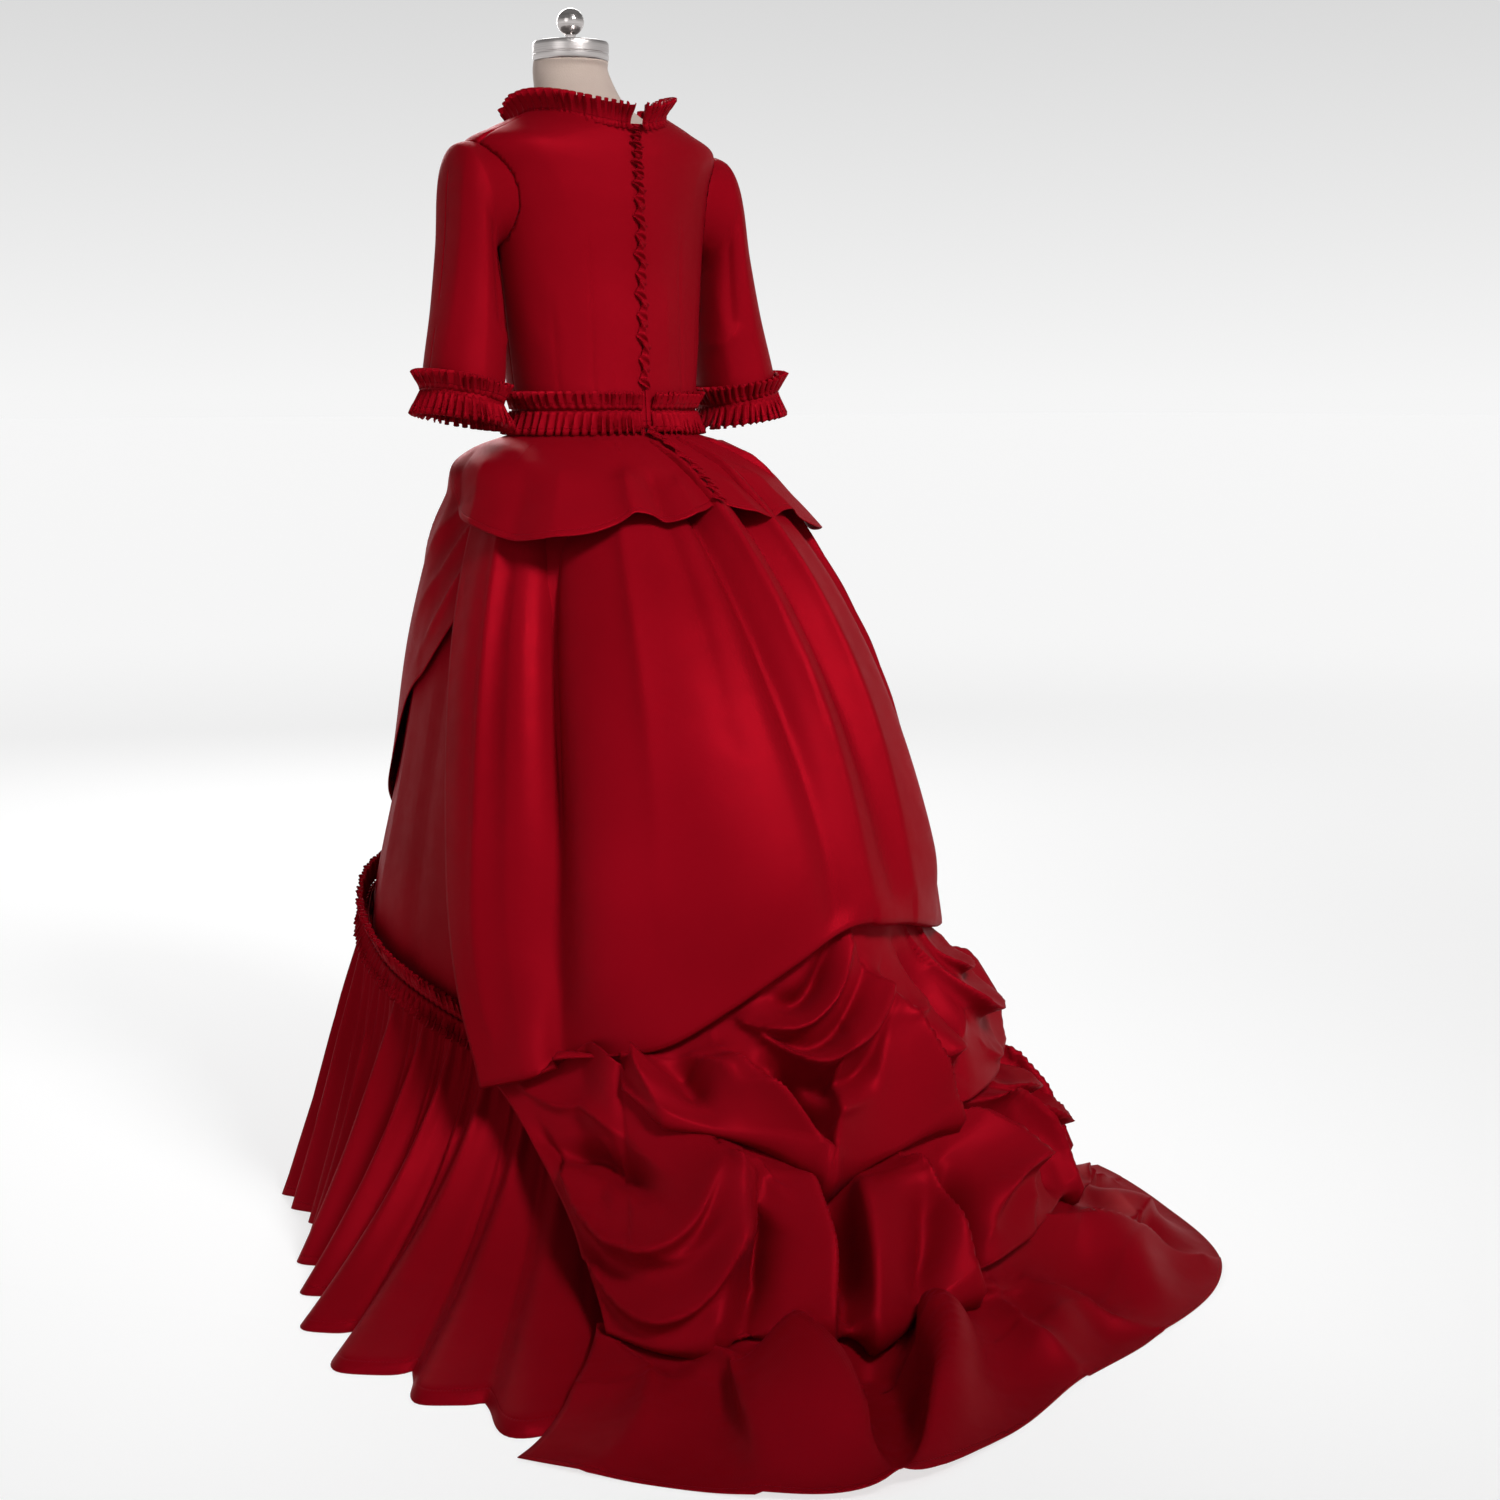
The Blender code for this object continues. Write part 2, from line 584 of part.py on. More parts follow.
def new_object(name, mesh, colour, roughness, metallic):
    thing = bpy.data.objects.new(name, mesh)
    material = bpy.data.materials.new(name + "_finish")
    material.use_nodes = True
    shader = material.node_tree.nodes["Principled BSDF"]
    shader.inputs["Base Color"].default_value = colour
    shader.inputs["Roughness"].default_value = roughness
    shader.inputs["Metallic"].default_value = metallic
    mesh.materials.append(material)
    parts.objects.link(thing)
    return thing


def grid_mesh(name, columns, rows, place, mirrored=False, capped=False):
    """A grid laid over u (left to right) and t (top to bottom) by place(u, t)."""
    mesh = bpy.data.meshes.new(name)
    shape = bmesh.new()
    bmesh.ops.create_grid(shape, x_segments=columns, y_segments=rows, size=0.5)
    for vert in shape.verts:
        vert.co = place(vert.co.x + 0.5, 0.5 - vert.co.y)
    bmesh.ops.remove_doubles(shape, verts=shape.verts[:], dist=0.00002)
    if mirrored:
        bmesh.ops.reverse_faces(shape, faces=shape.faces[:])
    if capped:
        bmesh.ops.holes_fill(shape, edges=shape.edges[:], sides=0)
        shape.normal_update()
        bmesh.ops.recalc_face_normals(shape, faces=shape.faces[:])
    for face in shape.faces:
        face.smooth = True
    shape.to_mesh(mesh)
    shape.free()
    return mesh


def cloth(name, columns, rows, place, mirrored=False):
    """One cut piece: an open sheet with its wall on the inner side."""
    mesh = grid_mesh(name, columns, rows, place, mirrored)
    piece = new_object(name, mesh, RED, 0.45, 0.0)
    wall = piece.modifiers.new("wall", "SOLIDIFY")
    wall.thickness = CLOTH
    wall.offset = -1.0
    return piece


def bodice_panel(name, first, last, columns):
    """A bodice panel between two bearings, waist at the bottom."""

    def place(u, t):
        return body_point(BODICE, first + (last - first) * u, 1.0 - t)

    return cloth(name, columns, 9, place)


def cut_armhole(panel, side):
    """Cut an oval armhole across the panel's side edge."""
    mesh = bpy.data.meshes.new(panel.name + "_armhole")
    shape = bmesh.new()
    length = ARMHOLE_OUTER_X - ARMHOLE_INNER_X
    bmesh.ops.create_cone(
        shape, cap_ends=True, segments=SLEEVE_COLUMNS, radius1=0.5, radius2=0.5, depth=length
    )
    middle = side * (ARMHOLE_OUTER_X + ARMHOLE_INNER_X) / 2.0
    for vert in shape.verts:
        along = vert.co.z * side
        vert.co = (
            middle + along,
            ARMHOLE_Y + vert.co.y * ARMHOLE_DEPTH,
            ARMHOLE_Z + vert.co.x * ARMHOLE_HEIGHT,
        )
    shape.normal_update()
    bmesh.ops.recalc_face_normals(shape, faces=shape.faces[:])
    shape.to_mesh(mesh)
    shape.free()
    cutter = bpy.data.objects.new(mesh.name, mesh)
    cutter.hide_render = True
    cutter.display_type = "WIRE"
    cutters.objects.link(cutter)
    cut = panel.modifiers.new("armhole", "BOOLEAN")
    cut.operation = "DIFFERENCE"
    cut.solver = "EXACT"
    cut.object = cutter


def frill_on_ring(name, columns, ring, rise, flare, first, last):
    """A gathered strip standing off a ring; ring(bearing) gives its sewn edge."""

    def place(u, t):
        bearing = first + (last - first) * u
        radius, z = ring(bearing if bearing < HALF_TURN else bearing - FULL_TURN)
        up = 1.0 - t if rise > 0.0 else t
        radius += flare * up + FRILL_WAVE * up * wave(columns, u)
        return polar(bearing, radius, z + rise * up)

    return cloth(name, columns, 1, place)


def neck_ring(bearing):
    x, y, z = body_point(BODICE, bearing, 1.0)
    return math.hypot(x, y), z + SEAM


def waist_ring(lift):
    def ring(bearing):
        share = (WAIST_LINE - BODICE[0].z_side) / (BODICE[1].z_side - BODICE[0].z_side)
        x, y, z = body_point(BODICE, bearing, share / (len(BODICE) - 1))
        return math.hypot(x, y) + CLOTH + SEAM + 0.0009, WAIST_LINE + lift

    return ring


def heading_ring(lift):
    def ring(bearing):
        radius, z = heading_line(bearing)
        return radius + FLOUNCE_STANDOFF + CLOTH + 0.0012, z + lift

    return ring


def cuff_frill(name, side, rise, flare):
    """A gathered strip round the end of a sleeve, upwards or downwards."""
    columns = 24
    last = sleeve_point(side, CLOTH + SEAM + 0.0006)
    wide = sleeve_point(side, CLOTH + SEAM + flare)
    row = 0.962

    def place(u, t):
        up = 1.0 - t if rise > 0.0 else t
        near = np.array(last(u, row))
        far = np.array(wide(u, row))
        ripple = 1.0 + 0.30 * wave(columns, u)
        point = near + (far - near) * up * ripple
        return (point[0], point[1], point[2] + 0.0012 * math.copysign(1.0, rise) + rise * up)

    return cloth(name, columns, 1, place, mirrored=side < 0)


def closure(name, rows, centre_line):
    """The narrow ruched strip over the centre-back opening."""

    def place(u, t):
        radius, z = centre_line(t)
        twist = CLOSURE_TWIST * wave(rows, t) * (2.0 * u - 1.0)
        return (CLOSURE_WIDTH * (0.5 - u), radius + CLOSURE_STANDOFF + twist, z)

    return cloth(name, 2, rows, place)


def bodice_back_line(t):
    x, y, z = body_point(BODICE, 0.0, 0.985 - 0.86 * t)
    return y + CLOTH, z


def peplum_back_line(t):
    x, y, z = peplum_point(1.0)(1.0, t)
    return y + 0.0016, z + 0.0016


def turned(name, profile, centre_y, colour, roughness, metallic):
    """A round piece from its outline, given from the top down the outer side."""
    mesh = bpy.data.meshes.new(name)
    points = [(x, centre_y * 0.0, z) for x, z in profile]
    edges = [(i, i + 1) for i in range(len(points) - 1)]
    mesh.from_pydata(points, edges, [])
    piece = new_object(name, mesh, colour, roughness, metallic)
    piece.location.y = centre_y
    spin = piece.modifiers.new("turn", "SCREW")
    spin.steps = ROUND_STEPS
    spin.render_steps = ROUND_STEPS
    spin.use_merge_vertices = True
    spin.merge_threshold = 0.0001
    spin.use_smooth_shade = True
    return piece


for old in list(bpy.data.objects):
    bpy.data.objects.remove(old, do_unlink=True)
parts = bpy.data.collections.new(COLLECTION)
cutters = bpy.data.collections.new("armhole_cutters")
bpy.context.scene.collection.children.link(parts)
bpy.context.scene.collection.children.link(cutters)

# The dress form.
torso_mesh = grid_mesh(
    "form_torso",
    24,
    13,
    form_point,
    capped=True,
)
new_object("form_torso", torso_mesh, COVER, 0.75, 0.0)
turned(
    "form_neck_cap",
    (
        (0.0, CAP_TOP),
        (CAP_RADIUS - CAP_EASE, CAP_TOP),
        (CAP_RADIUS, CAP_TOP - CAP_EASE),
        (CAP_RADIUS, CAP_BOTTOM),
        (0.0, CAP_BOTTOM),
    ),
    CAP_Y,
    STEEL,
    0.3,
    1.0,
)
KNOB_TURNS = 10
knob_profile = [
    (
        KNOB_RADIUS * math.sin(math.pi * i / KNOB_TURNS),
        KNOB_Z + KNOB_RADIUS * math.cos(math.pi * i / KNOB_TURNS),
    )
    for i in range(KNOB_TURNS - 1)
]
knob_profile += [
    (STEM_RADIUS, KNOB_Z - KNOB_RADIUS * math.cos(math.pi / KNOB_TURNS)),
    (STEM_RADIUS, CAP_TOP + SEAM),
    (0.0, CAP_TOP + SEAM),
]
turned("form_knob", knob_profile, CAP_Y, STEEL, 0.25, 1.0)
turned(
    "form_pole",
    (
        (0.0, FORM[0].z_back - SEAM),
        (POLE_RADIUS, FORM[0].z_back - SEAM),
        (POLE_RADIUS, BASE_THICK + SEAM),
        (0.0, BASE_THICK + SEAM),
    ),
    0.0,
    STEEL,
    0.35,
    1.0,
)
turned(
    "form_base",
    (
        (0.0, BASE_THICK),
        (BASE_RADIUS - 0.003, BASE_THICK),
        (BASE_RADIUS, BASE_THICK - 0.003),
        (BASE_RADIUS, 0.0),
        (0.0, 0.0),
    ),
    0.0,
    STEEL,
    0.35,
    1.0,
)

# The bodice: a front cut in one, two backs meeting under the closure strip.
SIDE = 90.0
SEAM_TURN = 0.15
BACK_TURN = 0.25
for name, first, last, columns, sides in (
    ("bodice_front", -SIDE - SEAM_TURN, SIDE + SEAM_TURN - FULL_TURN, 14, (1, -1)),
    ("bodice_back_left", SIDE - SEAM_TURN, BACK_TURN, 7, (1,)),
    ("bodice_back_right", -BACK_TURN, -SIDE + SEAM_TURN, 7, (-1,)),
):
    panel = bodice_panel(name, first, last, columns)
    for side in sides:
        cut_armhole(panel, side)

for word, side in (("left", 1), ("right", -1)):
    cloth("sleeve_" + word, SLEEVE_COLUMNS, 7, sleeve_point(side), mirrored=side < 0)
    cuff_frill("cuff_frill_upper_" + word, side, FRILL_RISE, 0.012)
    cuff_frill("cuff_frill_lower_" + word, side, -0.030, 0.015)
    cloth("peplum_" + word, 10, 8, peplum_point(side), mirrored=side < 0)

frill_on_ring(
    "neck_frill", 40, neck_ring, NECK_RISE, 0.014, FULL_TURN - NECK_GAP, NECK_GAP
)
frill_on_ring(
    "waist_frill_upper", 40, waist_ring(0.0012), FRILL_RISE, FRILL_FLARE, FULL_TURN - 6.0, 6.0
)
frill_on_ring(
    "waist_frill_lower", 40, waist_ring(-0.0012), -FRILL_RISE, FRILL_FLARE, FULL_TURN - 6.0, 6.0
)
closure("closure_strip", 18, bodice_back_line)
closure("closure_strip_peplum", 8, peplum_back_line)

# The skirts, from the inside out.
cloth("underskirt", 32, UNDERSKIRT_ROWS, underskirt_point)
cloth("flounce", FLOUNCE_COLUMNS, 4, flounce_point)
frill_on_ring(
    "heading_frill_upper",
    48,
    heading_ring(-0.0004),
    0.026,
    FRILL_FLARE,
    FULL_TURN - HEADING_END,
    HEADING_END,
)
frill_on_ring(
    "heading_frill_lower",
    48,
    heading_ring(-0.0028),
    -0.026,
    2.0 * FRILL_FLARE,
    FULL_TURN - HEADING_END,
    HEADING_END,
)
cloth("front_apron", 20, APRON_ROWS, apron_point, mirrored=True)
cloth("back_drape", 28, DRAPE_ROWS, back_drape_point)
cloth("upper_swag", 20, 6, swag_point(UPPER_SWAG, drape_fold, 0.4, UPPER_TUCK, UPPER_SWAG_CORNER))
cloth("lower_swag", 24, 8, swag_point(LOWER_SWAG, fold_over_lower, 1.9, LOWER_TUCK, LOWER_SWAG_CORNER))
cloth("train", 26, 7, train_point)
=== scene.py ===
# %% [markdown]
# # A trained bustle dress on its dress form
#
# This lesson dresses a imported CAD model. The CAD model says where every cut piece
# of the dress hangs; here each piece is made again as a fine, soft sheet of satin
# on that shape, with its gathers, folds, seams and stitches. In a few places the
# looks depart from it: the deep hollow in the back drape and the heavy folds of the
# tiers below it are not in the CAD model's solids.
#
# Everything is in metres. The pole of the dress form is the Z axis, the back of
# the dress faces +Y and the wearer's left is +X. A bearing is counted in degrees
# from the back (+Y) towards the wearer's left (+X).

import math
from collections import namedtuple

import bmesh
import bpy
import numpy as np
from mathutils import Matrix, Vector


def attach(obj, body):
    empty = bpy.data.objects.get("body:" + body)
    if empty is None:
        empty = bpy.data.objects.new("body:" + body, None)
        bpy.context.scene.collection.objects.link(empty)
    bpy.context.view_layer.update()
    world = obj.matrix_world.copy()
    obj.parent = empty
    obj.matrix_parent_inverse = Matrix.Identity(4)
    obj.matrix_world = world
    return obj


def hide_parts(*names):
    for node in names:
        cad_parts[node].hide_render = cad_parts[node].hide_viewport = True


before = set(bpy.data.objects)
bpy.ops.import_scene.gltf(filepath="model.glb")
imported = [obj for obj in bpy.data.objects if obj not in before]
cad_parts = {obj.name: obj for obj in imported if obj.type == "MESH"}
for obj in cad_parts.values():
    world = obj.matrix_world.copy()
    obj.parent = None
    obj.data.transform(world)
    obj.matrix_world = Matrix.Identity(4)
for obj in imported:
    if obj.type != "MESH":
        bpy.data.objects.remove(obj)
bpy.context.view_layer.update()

# %% [markdown]
# ## The camera
#
# The photographer stood behind the dress, towards its left, 3.6 metres away and
# at the height of the waist. Its place and lens were solved from the round neck
# cap, the level cuffs and the line of the floor. The view turns and tips a little,
# because the dress isn't in the middle of the picture.

# %% Place the camera
CAMERA_BEARING = math.radians(33.0)
CAMERA_DISTANCE = 3.62
CAMERA_HEIGHT = 1.10
SENSOR_WIDTH = 36.0
LENS = 63.6
LENS_PIXELS = 2650.0        # the same lens, in pixels of a picture 1500 wide
PIXELS_RIGHT = 148.0        # how far the picture's middle is from the pole
PIXELS_DOWN = 355.0         # and from the height of the camera
CAMERA_TURN = math.atan(PIXELS_RIGHT / LENS_PIXELS)
CAMERA_TIP = math.atan(PIXELS_DOWN / LENS_PIXELS)


def make_camera():
    """A camera looking at the pole, then turned to its right and tipped down."""
    back = Vector((math.sin(CAMERA_BEARING), math.cos(CAMERA_BEARING), 0.0))
    level = back * -1.0
    right = level.cross(Vector((0.0, 0.0, 1.0)))
    ahead = level * math.cos(CAMERA_TURN) + right * math.sin(CAMERA_TURN)
    right = ahead.cross(Vector((0.0, 0.0, 1.0)))
    ahead = ahead * math.cos(CAMERA_TIP) - Vector((0.0, 0.0, math.sin(CAMERA_TIP)))
    up = right.cross(ahead)
    eye = back * CAMERA_DISTANCE + Vector((0.0, 0.0, CAMERA_HEIGHT))
    camera = bpy.data.objects.new("camera", bpy.data.cameras.new("camera"))
    camera.data.sensor_width = SENSOR_WIDTH
    camera.data.lens = LENS
    camera.matrix_world = Matrix((right, up, -ahead)).transposed().to_4x4()
    camera.location = eye
    bpy.context.scene.collection.objects.link(camera)
    return camera


bpy.context.scene.camera = make_camera()
print("camera at", [round(value, 3) for value in bpy.context.scene.camera.location])

# %% [markdown]
# ## Floor and light
#
# A product photograph like this one is lit by soft boxes round a white sweep. The
# key light stands high up, to the right of the camera. A grid narrows its beam, so
# the floor and the hem get less of it. A wide light fills from the left, and one
# more lights the front of the dress, which this camera doesn't see. The floor and
# the world glow by themselves, so that the background stays pale.

# %% Make the floor
FLOOR_SIZE = 240.0
FLOOR_WHITE = (0.26, 0.26, 0.26, 1.0)
FLOOR_GLOW = 0.70           # light that the white sweep gives back near the dress
FLOOR_FAR_GLOW = 0.84       # and far from it, where the lights do not reach
FLOOR_NEAR = 1.2            # distances between which the glow rises
FLOOR_FAR = 9.0
WORLD_WHITE = (1.0, 1.0, 1.0, 1.0)


def make_floor():
    mesh = bpy.data.meshes.new("floor")
    shape = bmesh.new()
    bmesh.ops.create_grid(shape, x_segments=2, y_segments=2, size=FLOOR_SIZE / 2.0)
    shape.to_mesh(mesh)
    shape.free()
    floor = bpy.data.objects.new("floor", mesh)
    material = bpy.data.materials.new("pale_floor")
    material.use_nodes = True
    shader = material.node_tree.nodes["Principled BSDF"]
    shader.inputs["Base Color"].default_value = FLOOR_WHITE
    shader.inputs["Roughness"].default_value = 0.9
    shader.inputs["Specular IOR Level"].default_value = 0.1
    shader.inputs["Emission Color"].default_value = WORLD_WHITE
    nodes, links = material.node_tree.nodes, material.node_tree.links
    away = nodes.new("ShaderNodeVectorMath")
    away.operation = "LENGTH"
    links.new(nodes.new("ShaderNodeTexCoord").outputs["Object"], away.inputs[0])
    glow = nodes.new("ShaderNodeMapRange")
    glow.interpolation_type = "SMOOTHSTEP"
    for name, value in (
        ("From Min", FLOOR_NEAR), ("From Max", FLOOR_FAR),
        ("To Min", FLOOR_GLOW), ("To Max", FLOOR_FAR_GLOW),
    ):
        glow.inputs[name].default_value = value
    links.new(away.outputs["Value"], glow.inputs["Value"])
    links.new(glow.outputs["Result"], shader.inputs["Emission Strength"])
    mesh.materials.append(material)
    bpy.context.scene.collection.objects.link(floor)
    return floor


floor = make_floor()
print("floor", [round(value) for value in floor.dimensions])

# %% [markdown]
# ## Soft boxes and the white world
#
# An area light shaped as a disk stands in for each soft box. A table holds them, so
# they are easy to compare. The world is brightest at eye level and dims overhead,
# which gives the steel cap something to mirror.

# %% Set the lights and the world
HORIZON_LIGHT = 0.92        # strength of the white sweep at eye level
CEILING_LIGHT = 0.22        # and overhead
CEILING_START = 0.45        # height of a direction where the ceiling's dimness is reached
OPEN_BEAM = 180.0           # degrees that a bare soft box spreads its light over
GRID_BEAM = 40.0            # and what a grid leaves of it, so the hem is darker
SKIRT_MIDDLE = (0.0, 0.3, 0.6)
BACK_MIDDLE = (-0.10, 0.25, 0.85)
SoftBox = namedtuple("SoftBox", "name place aim size power spread")
SOFT_BOXES = (
    SoftBox("key_light", (0.1, 3.9, 4.0), BACK_MIDDLE, 1.3, 17.6, GRID_BEAM),
    SoftBox("fill_light", (3.6, 1.4, 2.4), SKIRT_MIDDLE, 2.2, 16.0, OPEN_BEAM),
    SoftBox("front_light", (-1.5, -3.5, 2.8), SKIRT_MIDDLE, 2.5, 105.0, OPEN_BEAM),
)


def make_light(name, place, aim, size, power, spread):
    light = bpy.data.objects.new(name, bpy.data.lights.new(name, "AREA"))
    light.data.shape = "DISK"
    light.data.size = size
    light.data.energy = power
    light.data.spread = math.radians(spread)
    light.location = place
    direction = Vector(aim) - Vector(place)
    light.rotation_euler = direction.to_track_quat("-Z", "Y").to_euler()
    bpy.context.scene.collection.objects.link(light)


def make_world():
    """A white sweep that is bright at eye level and dimmer overhead."""
    world = bpy.data.worlds.new("white_sweep")
    world.use_nodes = True
    nodes = world.node_tree.nodes
    links = world.node_tree.links
    split = nodes.new("ShaderNodeSeparateXYZ")
    links.new(nodes.new("ShaderNodeTexCoord").outputs["Generated"], split.inputs[0])
    dim = nodes.new("ShaderNodeMapRange")
    dim.inputs["From Max"].default_value = CEILING_START
    dim.inputs["To Min"].default_value = HORIZON_LIGHT
    dim.inputs["To Max"].default_value = CEILING_LIGHT
    links.new(split.outputs["Z"], dim.inputs["Value"])
    links.new(dim.outputs["Result"], nodes["Background"].inputs["Strength"])
    nodes["Background"].inputs["Color"].default_value = WORLD_WHITE
    bpy.context.scene.world = world


make_world()
bpy.context.scene.view_settings.view_transform = "Standard"
for soft_box in SOFT_BOXES:
    make_light(*soft_box)

# %% [markdown]
# ## Smooth curves through small tables
#
# A dressmaker works from a few measures at a few heights. So do these functions:
# a table holds one row per section, level or fold, and a smooth curve is run
# through its rows. They work on whole arrays, because a fine sheet of cloth has
# tens of thousands of points.

# %% Curves through tables
SEAM = 0.0004
HALF_TURN = 180.0
FULL_TURN = 360.0
CENTRE_ROUND = 5.0          # bearings over which the centre back and front are rounded
CENTRE_REACH = 60.0         # and where that rounding has died away
SIDE_KNOTS = (0.0, 30.0, 60.0, 90.0, 120.0, 150.0, 180.0)


def between(knots, values, x):
    """Smooth value at x through a table, flat beyond both ends."""
    knots = np.asarray(knots, dtype=float)
    values = np.asarray(values, dtype=float)
    if knots[0] > knots[-1]:
        knots = knots[::-1]
        values = values[::-1]
    x = np.clip(x, knots[0], knots[-1])
    slopes = np.gradient(values, knots, axis=0)
    i = np.clip(np.searchsorted(knots, x, side="right") - 1, 0, len(knots) - 2)
    span = knots[i + 1] - knots[i]
    s = (x - knots[i]) / span
    own = (np.arange(len(x)),) if values.ndim > 1 else ()
    low, high = values[(i, *own)], values[(i + 1, *own)]
    lean_low, lean_high = slopes[(i, *own)], slopes[(i + 1, *own)]
    rise = 2 * s**3 - 3 * s**2
    bend = (s**3 - 2 * s**2 + s) * lean_low + (s**3 - s**2) * lean_high
    return (1 + rise) * low - rise * high + span * bend


def column(table, name):
    return [getattr(row, name) for row in table]


def at_bearing(table, name, bearing):
    return between(column(table, "bearing"), column(table, name), bearing)


def ease(s):
    s = np.clip(s, 0.0, 1.0)
    return s * s * (3.0 - 2.0 * s)


def polar(bearing, radius, z):
    turn = np.radians(bearing)
    z = z + 0.0 * turn
    return np.stack((radius * np.sin(turn), radius * np.cos(turn), z), axis=1)


def bump(distance, width):
    return np.exp(-((distance / width) ** 2))


def fold_bearing(bearing):
    """Both sides are alike: the bearing from the centre back, rounded off at both centres."""
    side = np.abs((np.asarray(bearing) + HALF_TURN) % FULL_TURN - HALF_TURN)
    back = (np.hypot(side, CENTRE_ROUND) - side) * (1.0 - ease(side / CENTRE_REACH))
    ahead = HALF_TURN - side
    front = (np.hypot(ahead, CENTRE_ROUND) - ahead) * (1.0 - ease(ahead / CENTRE_REACH))
    return side + back - front


print("curves ready; 20 degrees folds to", round(float(fold_bearing(20.0)), 2))

# %% [markdown]
# ## The body's sections
#
# The bodice and the form under it are ovals stacked up the body, each with its own
# half width and its own back and front. A section may tilt, as a neckline does, so
# it has three heights.

# %% Body sections
Section = namedtuple("Section", "half_width back_y side_y front_y z_back z_side z_front")
BODICE = (
    Section(0.130, 0.112, 0.010, -0.085, 1.056, 1.056, 1.056),
    Section(0.136, 0.107, 0.004, -0.097, 1.110, 1.110, 1.110),
    Section(0.145, 0.102, -0.004, -0.116, 1.180, 1.180, 1.180),
    Section(0.154, 0.098, -0.010, -0.138, 1.250, 1.250, 1.250),
    Section(0.162, 0.097, -0.014, -0.137, 1.315, 1.315, 1.312),
    Section(0.176, 0.094, -0.020, -0.130, 1.370, 1.380, 1.360),
    Section(0.188, 0.091, -0.026, -0.124, 1.403, 1.426, 1.385),
    Section(0.148, 0.088, -0.030, -0.119, 1.432, 1.450, 1.404),
    Section(0.100, 0.085, -0.034, -0.114, 1.452, 1.472, 1.422),
)
FORM = (
    Section(0.060, 0.045, 0.005, -0.040, 0.775, 0.775, 0.775),
    Section(0.128, 0.090, 0.008, -0.078, 0.785, 0.785, 0.785),
    Section(0.156, 0.113, 0.008, -0.095, 0.825, 0.825, 0.825),
    Section(0.160, 0.117, 0.008, -0.098, 0.880, 0.880, 0.880),
    Section(0.148, 0.108, 0.010, -0.090, 0.960, 0.960, 0.960),
    Section(0.1165, 0.0980, 0.010, -0.0736, 1.045, 1.045, 1.045),
    Section(0.126, 0.088, -0.004, -0.104, 1.160, 1.160, 1.160),
    Section(0.136, 0.086, -0.010, -0.1344, 1.260, 1.260, 1.260),
    Section(0.138, 0.083, -0.016, -0.118, 1.350, 1.350, 1.340),
    Section(0.138, 0.078, -0.026, -0.110, 1.395, 1.408, 1.375),
    Section(0.112, 0.072, -0.030, -0.105, 1.424, 1.440, 1.398),
    Section(0.078, 0.052, -0.034, -0.103, 1.452, 1.470, 1.428),
    Section(0.058, 0.016, -0.050, -0.110, 1.484, 1.494, 1.474),
    Section(0.052, -0.018, -0.068, -0.118, 1.530, 1.530, 1.530),
    Section(0.0505, -0.0175, -0.068, -0.1185, 1.5456, 1.5456, 1.5456),
)


def section_radius(section, bearing):
    """Distance from the pole to an oval section along each bearing."""
    sine, cosine = np.sin(np.radians(bearing)), np.cos(np.radians(bearing))
    radius = np.full(len(bearing), section.half_width)
    for end in (section.front_y, section.back_y):
        depth = abs(end - section.side_y)
        a = (sine / section.half_width) ** 2 + (cosine / depth) ** 2
        b = -2.0 * cosine * section.side_y / depth**2
        c = (section.side_y / depth) ** 2 - 1.0
        found = (-b + np.sqrt(b * b - 4.0 * a * c)) / (2.0 * a)
        beyond = found * cosine - section.side_y
        radius = np.where(beyond * (end - section.side_y) >= 0.0, found, radius)
    return radius


def section_height(section, bearing):
    facing = np.cos(np.radians(bearing))
    end = np.where(facing > 0.0, section.z_back, section.z_front)
    return section.z_side + (end - section.z_side) * facing**2


def body_point(bearing, t, out=0.0):
    """Points on the bodice at t from 0 (waist) to 1 (neckline)."""
    steps = np.arange(len(BODICE))
    at = t * (len(BODICE) - 1)
    radius = between(steps, np.array([section_radius(row, bearing) for row in BODICE]), at)
    z = between(steps, np.array([section_height(row, bearing) for row in BODICE]), at)
    return polar(bearing, radius + out, z)


def form_point(u, t):
    """Points on the form; its sections are ovals about their own centres."""
    turn = 2.0 * np.pi * (0.5 - u)
    steps = np.arange(len(FORM))
    at = (1.0 - t) * (len(FORM) - 1)
    half = between(steps, column(FORM, "half_width"), at)
    side_y = between(steps, column(FORM, "side_y"), at)
    back_y = between(steps, column(FORM, "back_y"), at)
    front_y = between(steps, column(FORM, "front_y"), at)
    end_y = np.where(np.cos(turn) > 0.0, back_y, front_y)
    z = between(steps, np.array([section_height(row, np.degrees(turn)) for row in FORM]), at)
    y = side_y + np.abs(end_y - side_y) * np.cos(turn)
    return np.stack((half * np.sin(turn), y, z), axis=1)


print("bodice sections", len(BODICE), "form sections", len(FORM))

# %% [markdown]
# ## Skirt levels
#
# The skirts are wider behind than in front. A level gives the skirt's radius at
# seven bearings from the back to the front, and the other side mirrors it.

